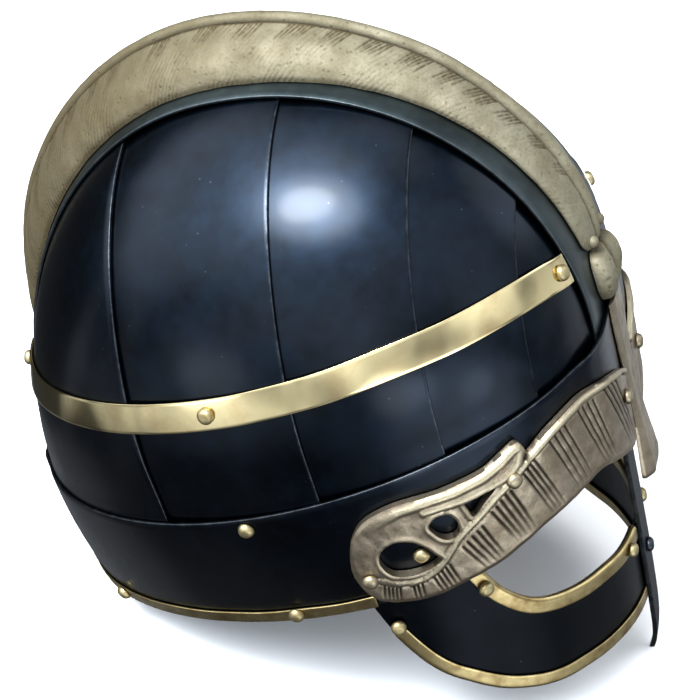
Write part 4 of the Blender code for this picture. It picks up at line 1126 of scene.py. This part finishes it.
def make_crest_head():
    """Beast's muzzle below the crest's eyes: two egg-shaped lobes beside a ridge."""
    share = np.linspace(0, 1, 110)[:, None]
    level = crest_end() - CREST_HEAD_LENGTH * share
    half = CREST_HEAD_HALF_WIDTH * follow(HEAD_STATIONS, share)
    tall = CREST_HEAD_HEIGHT * follow(HEAD_STATIONS, share, 2)
    place = np.linspace(-1, 1, 57)
    across = half * place
    seat = cast(vectors(across, 0, level), np.array([0.0, -1.0, 0.0]))[..., 1] - CAST_SEAT
    uneven = uneven_cast(across, level, (0.16, 31, 4.0), (0.08, 32, 1.8))
    pitted = pits(across, level + 0 * across, 33, 60, 0.3)
    grid = vectors(across, seat - tall * follow(HEAD_SECTION, place) - uneven + pitted, level)
    under = vectors(half * np.linspace(0.96, -0.96, 5), around(-90.0, level)[..., 1] - CAST_SEAT, level)
    groove = hump(place - 0.13, 0.07) + hump(place + 0.13, 0.07)
    # Darker at both ends, where the head meets the crest and the nasal casting: painted shade; the grooves
    # and pits darken as hollows
    end_shade = hump(share, 0.06) + 0.6 * hump(share - 1, 0.10)
    add_casting("crest_head_finished", grid, under, CAST_BRASS, ["crest_head"], 55.0,
                low_mm=0.4 * groove + 0.3 * end_shade + pitted)


def make_nasal_casting():
    """Casting down the nose: a flat front between two bevelled sides, flared at its lower end."""
    top = crest_end() - CREST_HEAD_LENGTH - CAST_FIT
    share = np.concatenate([np.linspace(0, 0.96, 90, endpoint=False), np.linspace(0.96, 1.0, 10)])[:, None]
    level = blend(top, NASAL_BOTTOM_HEIGHT, share)
    corner = 1 - 0.14 * np.clip((share - 0.965) / 0.035, 0, 1) ** 2
    half = NASAL_HALF_WIDTH * follow(NASAL_STATIONS, share) * corner
    thick = NASAL_THICKNESS * follow(NASAL_STATIONS, share, 2)
    seat = around(-90.0, np.maximum(level, EYE_LINE))[..., 1] - FIT - 2 * PLATE - STRAP_PASS - CAST_FIT
    place = np.linspace(-1, 1, 41)
    uneven = uneven_cast(half * place, level, (0.10, 41, 5.0), (0.05, 42, 2.0))
    grid = vectors(half * place, seat - thick * follow(NASAL_SECTION, place) - uneven, level)
    ridge = hump(np.abs(place) - 0.5, 0.1) + 0 * level
    add_casting("nasal_casting_finished", grid, vectors(half * np.linspace(1, -1, 5), seat, level), BRONZE,
                ["nasal_casting"], 50.0, high_mm=0.5 * ridge, low_mm=0 * ridge)


def smooth_loop(outline, count=90):
    """A closed smooth line through an outline's corners."""
    corners = np.array(outline, float)
    before, after, beyond = (np.roll(corners, shift, axis=0) for shift in (1, -1, -2))
    t = np.linspace(0, 1, max(4, count // len(corners)), endpoint=False)[:, None]
    return np.concatenate([0.5 * (2 * p1 + (p2 - p0) * t + (2 * p0 - 5 * p1 + 4 * p2 - p3) * t ** 2
                                  + (3 * p1 - p0 - 3 * p2 + p3) * t ** 3)
                           for p0, p1, p2, p3 in zip(before, corners, after, beyond)])


def inside_loop(u, v, loop):
    """Whether places lie inside a closed line."""
    within = np.zeros(u.shape, bool)
    for (au, av), (bu, bv) in zip(loop, np.roll(loop, -1, axis=0)):
        with np.errstate(divide="ignore", invalid="ignore"):
            within ^= ((av > v) != (bv > v)) & (u < au + (v - av) * (bu - au) / (bv - av))
    return within


def pierce(u, v, loops):
    """Cut holes in a grid of places: its edges are drawn onto the holes' outlines. Gives the kept faces."""
    kept = np.ones((u.shape[0] - 1, u.shape[1] - 1), bool)
    for loop in loops:
        hole = inside_loop(*[(w[:-1, :-1] + w[1:, :-1] + w[1:, 1:] + w[:-1, 1:]) / 4 for w in (u, v)], loop)
        kept &= ~hole
        touched, clear = np.zeros(u.shape, bool), np.zeros(u.shape, bool)
        for rows in (slice(0, -1), slice(1, None)):
            for columns in (slice(0, -1), slice(1, None)):
                touched[rows, columns] |= hole
                clear[rows, columns] |= ~hole
        rim = touched & clear
        dense = np.concatenate([blend(loop, np.roll(loop, -1, axis=0), t) for t in np.linspace(0, 1, 5)[:-1]])
        away = np.hypot(u[rim][:, None] - dense[:, 0], v[rim][:, None] - dense[:, 1])
        u[rim], v[rim] = dense[np.argmin(away, axis=1)].T
    return kept


def make_eyebrows():
    """Cast eyebrows with a bead along the top, cut strokes below it and an openwork beast head."""
    run = math.radians(EYEBROW_SPAN) * EYEBROW_RADIUS
    scale = np.array([run, EYEBROW_HEIGHT])
    share = np.linspace(EYEBROW_TOP[0][0], 1.0, 400)[:, None]
    low, high = (EYEBROW_HEIGHT * follow(table, share) for table in (EYEBROW_BOTTOM, EYEBROW_TOP))
    up = np.linspace(0, 1, 60)
    u, v = share * run + 0 * up, blend(low, high, up)
    rim_away = np.minimum.reduce([v - low, high - v, u - u.min(), u.max() - u])
    loops = [smooth_loop(hole) * scale for hole in EYEBROW_HOLES]
    kept = pierce(u, v, loops)
    body = EYEBROW_THICKNESS * follow(EYEBROW_BODY, u / run) * (0.70 + 0.22 * ease(rim_away / 2.2))
    lift, cut = np.zeros(u.shape), np.zeros(u.shape)
    fade = ease((0.95 - u / run) / 0.16)
    for line, width, rise in BEADS:
        away = line_distance(u, v, np.array(line) * scale)
        lift = np.maximum(lift, rise * fade * np.sqrt(np.clip(1 - (away / width) ** 2, 0, 1)))
    for loop in loops:
        away = line_distance(u, v, np.concatenate([loop, loop[:1]]))
        lift = np.maximum(lift, 0.42 * hump(away - 0.9, 0.8))
    for stroke in BROW_STROKES:
        start, end = np.array(stroke).reshape(2, 2) * scale
        cut = np.maximum(cut, 0.5 * stroke_depth(u, v, start, end, 0.40))
    cut = cut * np.clip(1 - lift / 0.3, 0, 1)
    line, width, _ = BEADS[0]
    beside = 0.30 * hump(line_distance(u, v, np.array(line) * scale) - width - 0.3, 0.35)
    lift = lift - cut - beside * np.clip(1 - lift / 0.2, 0, 1)
    outer = eyebrow_point(u / run, v, body + lift + uneven_cast(u, v, (0.10, 51, 5.0), (0.05, 52, 2.2)))
    add_sheet_pair("eyebrow", outer, eyebrow_point(u / run, v, 0.0), BRONZE, "eyebrow", bevel=0.0,
                   crease=42.0, kept=kept, marks={"low_mm": cut + beside, "high_mm": np.maximum(lift, 0)})


# ---- studio

# Camera in the head's frame: place in mm, and its right and up
CAMERA_PLACE = (-473.5, -222.0, 358.5)
CAMERA_RIGHT = (0.255, -0.932, -0.256)
CAMERA_UP = (0.554, -0.076, 0.829)
CAMERA_LENS = 76.875


def add_camera():
    """Camera at the photograph's place and angle."""
    data = bpy.data.cameras.new("camera")
    data.lens = CAMERA_LENS
    data.sensor_width = 36.0
    data.clip_start = 0.01
    right, up = Vector(CAMERA_RIGHT).normalized(), Vector(CAMERA_UP)
    up = (up - right * up.dot(right)).normalized()
    axes = Matrix((right, up, right.cross(up))).transposed()
    camera = add_object("camera", data)
    camera.matrix_world = (Matrix.Translation(TO_WORLD @ (Vector(CAMERA_PLACE) * MM))
                           @ (TO_WORLD.to_3x3() @ axes).to_4x4())
    bpy.context.scene.camera = camera


# Soft glows in the room, and a dark stretch last: degrees from +X and above the floor, degrees to their inner
# and outer edge, strength
ROOM_GLOWS = ((106, 40, 14, 44, 4.2), (138, 60, 6, 27, 5.6), (40, 82, 8, 24, 2.4), (-60, 44, 6, 26, 3.2),
              (168, 30, 8, 36, 1.9), (-125, 45, 8, 42, 1.6), (-135, -14, 4, 28, 2.7), (-165, 8, 4, 20, 0.8),
              (148, -16, 6, 24, 0.7), (146, 54, 0, 18, 30.0), (-157, -8, 0, 12, 6.5), (-132, -8, 0, 9, 4.0),
              (149, -8, 0, 11, 3.2), (60, 0, 12, 46, -1.8))
ROOM_DIMMEST = 0.05
FLOOR_REACH = 9.0


def toward(azimuth, height):
    """Direction at degrees from +X and above the floor."""
    azimuth, height = math.radians(azimuth), math.radians(height)
    level = math.cos(height)
    return Vector((math.cos(azimuth) * level, math.sin(azimuth) * level, math.sin(height)))


def add_light(name, azimuth, height, distance, size, radiance, shines=True):
    """A round soft box facing the helmet: its direction in degrees, its place and size in metres."""
    data = bpy.data.lights.new(name, "AREA")
    data.shape = "ELLIPSE"
    data.size, data.size_y = size
    data.energy = radiance * math.pi * size[0] * size[1] * math.pi / 4
    light = add_object(name, data)
    light.location = Vector((0.0, 0.0, 0.13)) + toward(azimuth, height) * distance
    light.rotation_euler = toward(azimuth, height).to_track_quat("Z", "Y").to_euler()
    light.visible_glossy = shines


def add_room():
    """A room round the helmet for the metal to mirror: dim below and overhead, with soft glows."""
    scene = bpy.context.scene
    scene.view_settings.view_transform = "Standard"
    scene.world = bpy.data.worlds.new("room")
    scene.world.use_nodes = True
    tree = scene.world.node_tree
    place = {"Vector": add_node(tree, "TexCoord", gives="Generated")}
    height = add_node(tree, "SeparateXYZ", links={0: place["Vector"]}, gives="Z")
    patches = add_node(tree, "TexNoise", {"Scale": 3.0, "Detail": 1.0}, place)
    walls = add_node(tree, "MapRange", share_of(0.38, 0.62, 0.25, 1.25), {"Value": patches})
    strength = walls
    for reach in ((-0.62, -0.22, 0.22, 1.0), (0.10, 0.60, 1.0, 0.35)):
        dimmed = add_node(tree, "MapRange", share_of(*reach), {"Value": height})
        strength = add_node(tree, "Math", {"operation": "MULTIPLY"}, {0: strength, 1: dimmed})
    for azimuth, climb, inner, outer, glow in ROOM_GLOWS:
        near = add_node(tree, "VectorMath", {"operation": "DOT_PRODUCT", 1: toward(azimuth, climb)},
                        {0: place["Vector"]}, "Value")
        settings = {"interpolation_type": "SMOOTHSTEP",
                    **share_of(math.cos(math.radians(outer)), math.cos(math.radians(inner)), 0.0, glow)}
        near = add_node(tree, "MapRange", settings, {"Value": near})
        strength = add_node(tree, "Math", {"operation": "ADD"}, {0: strength, 1: near})
    strength = add_node(tree, "Math", {"operation": "MAXIMUM", 1: ROOM_DIMMEST}, {0: strength})
    background = tree.nodes["Background"]
    background.inputs["Color"].default_value = linear("#e6eef8")
    tree.links.new(strength, background.inputs["Strength"])


def add_studio():
    """Pale card floor, the window high on the right and a broad soft light for the floor alone."""
    mesh = bpy.data.meshes.new("floor")
    corners = [(x * FLOOR_REACH, y * FLOOR_REACH, 0) for x, y in ((-1, -1), (1, -1), (1, 1), (-1, 1))]
    mesh.from_pydata(corners, [], [(0, 1, 2, 3)])
    mesh.materials.append(make_floor_paper())
    floor = add_object("floor", mesh)
    # The metal mirrors the dim room below it, as in the photograph, and not the card
    floor.visible_glossy = False
    add_light("window", 144, 54, 1.3, (0.30, 0.36), 48.0)
    add_light("floor_light", 0, 89, 2.6, (4.2, 4.2), 2.6, shines=False)


for make in (make_strap, make_brow_band, make_plates, make_nasal_bar, make_guards, make_side_bands,
             make_rim_trim, make_guard_trims, make_rivets, make_crest, make_crest_head, make_nasal_casting,
             make_eyebrows, add_camera, add_room, add_studio):
    make()
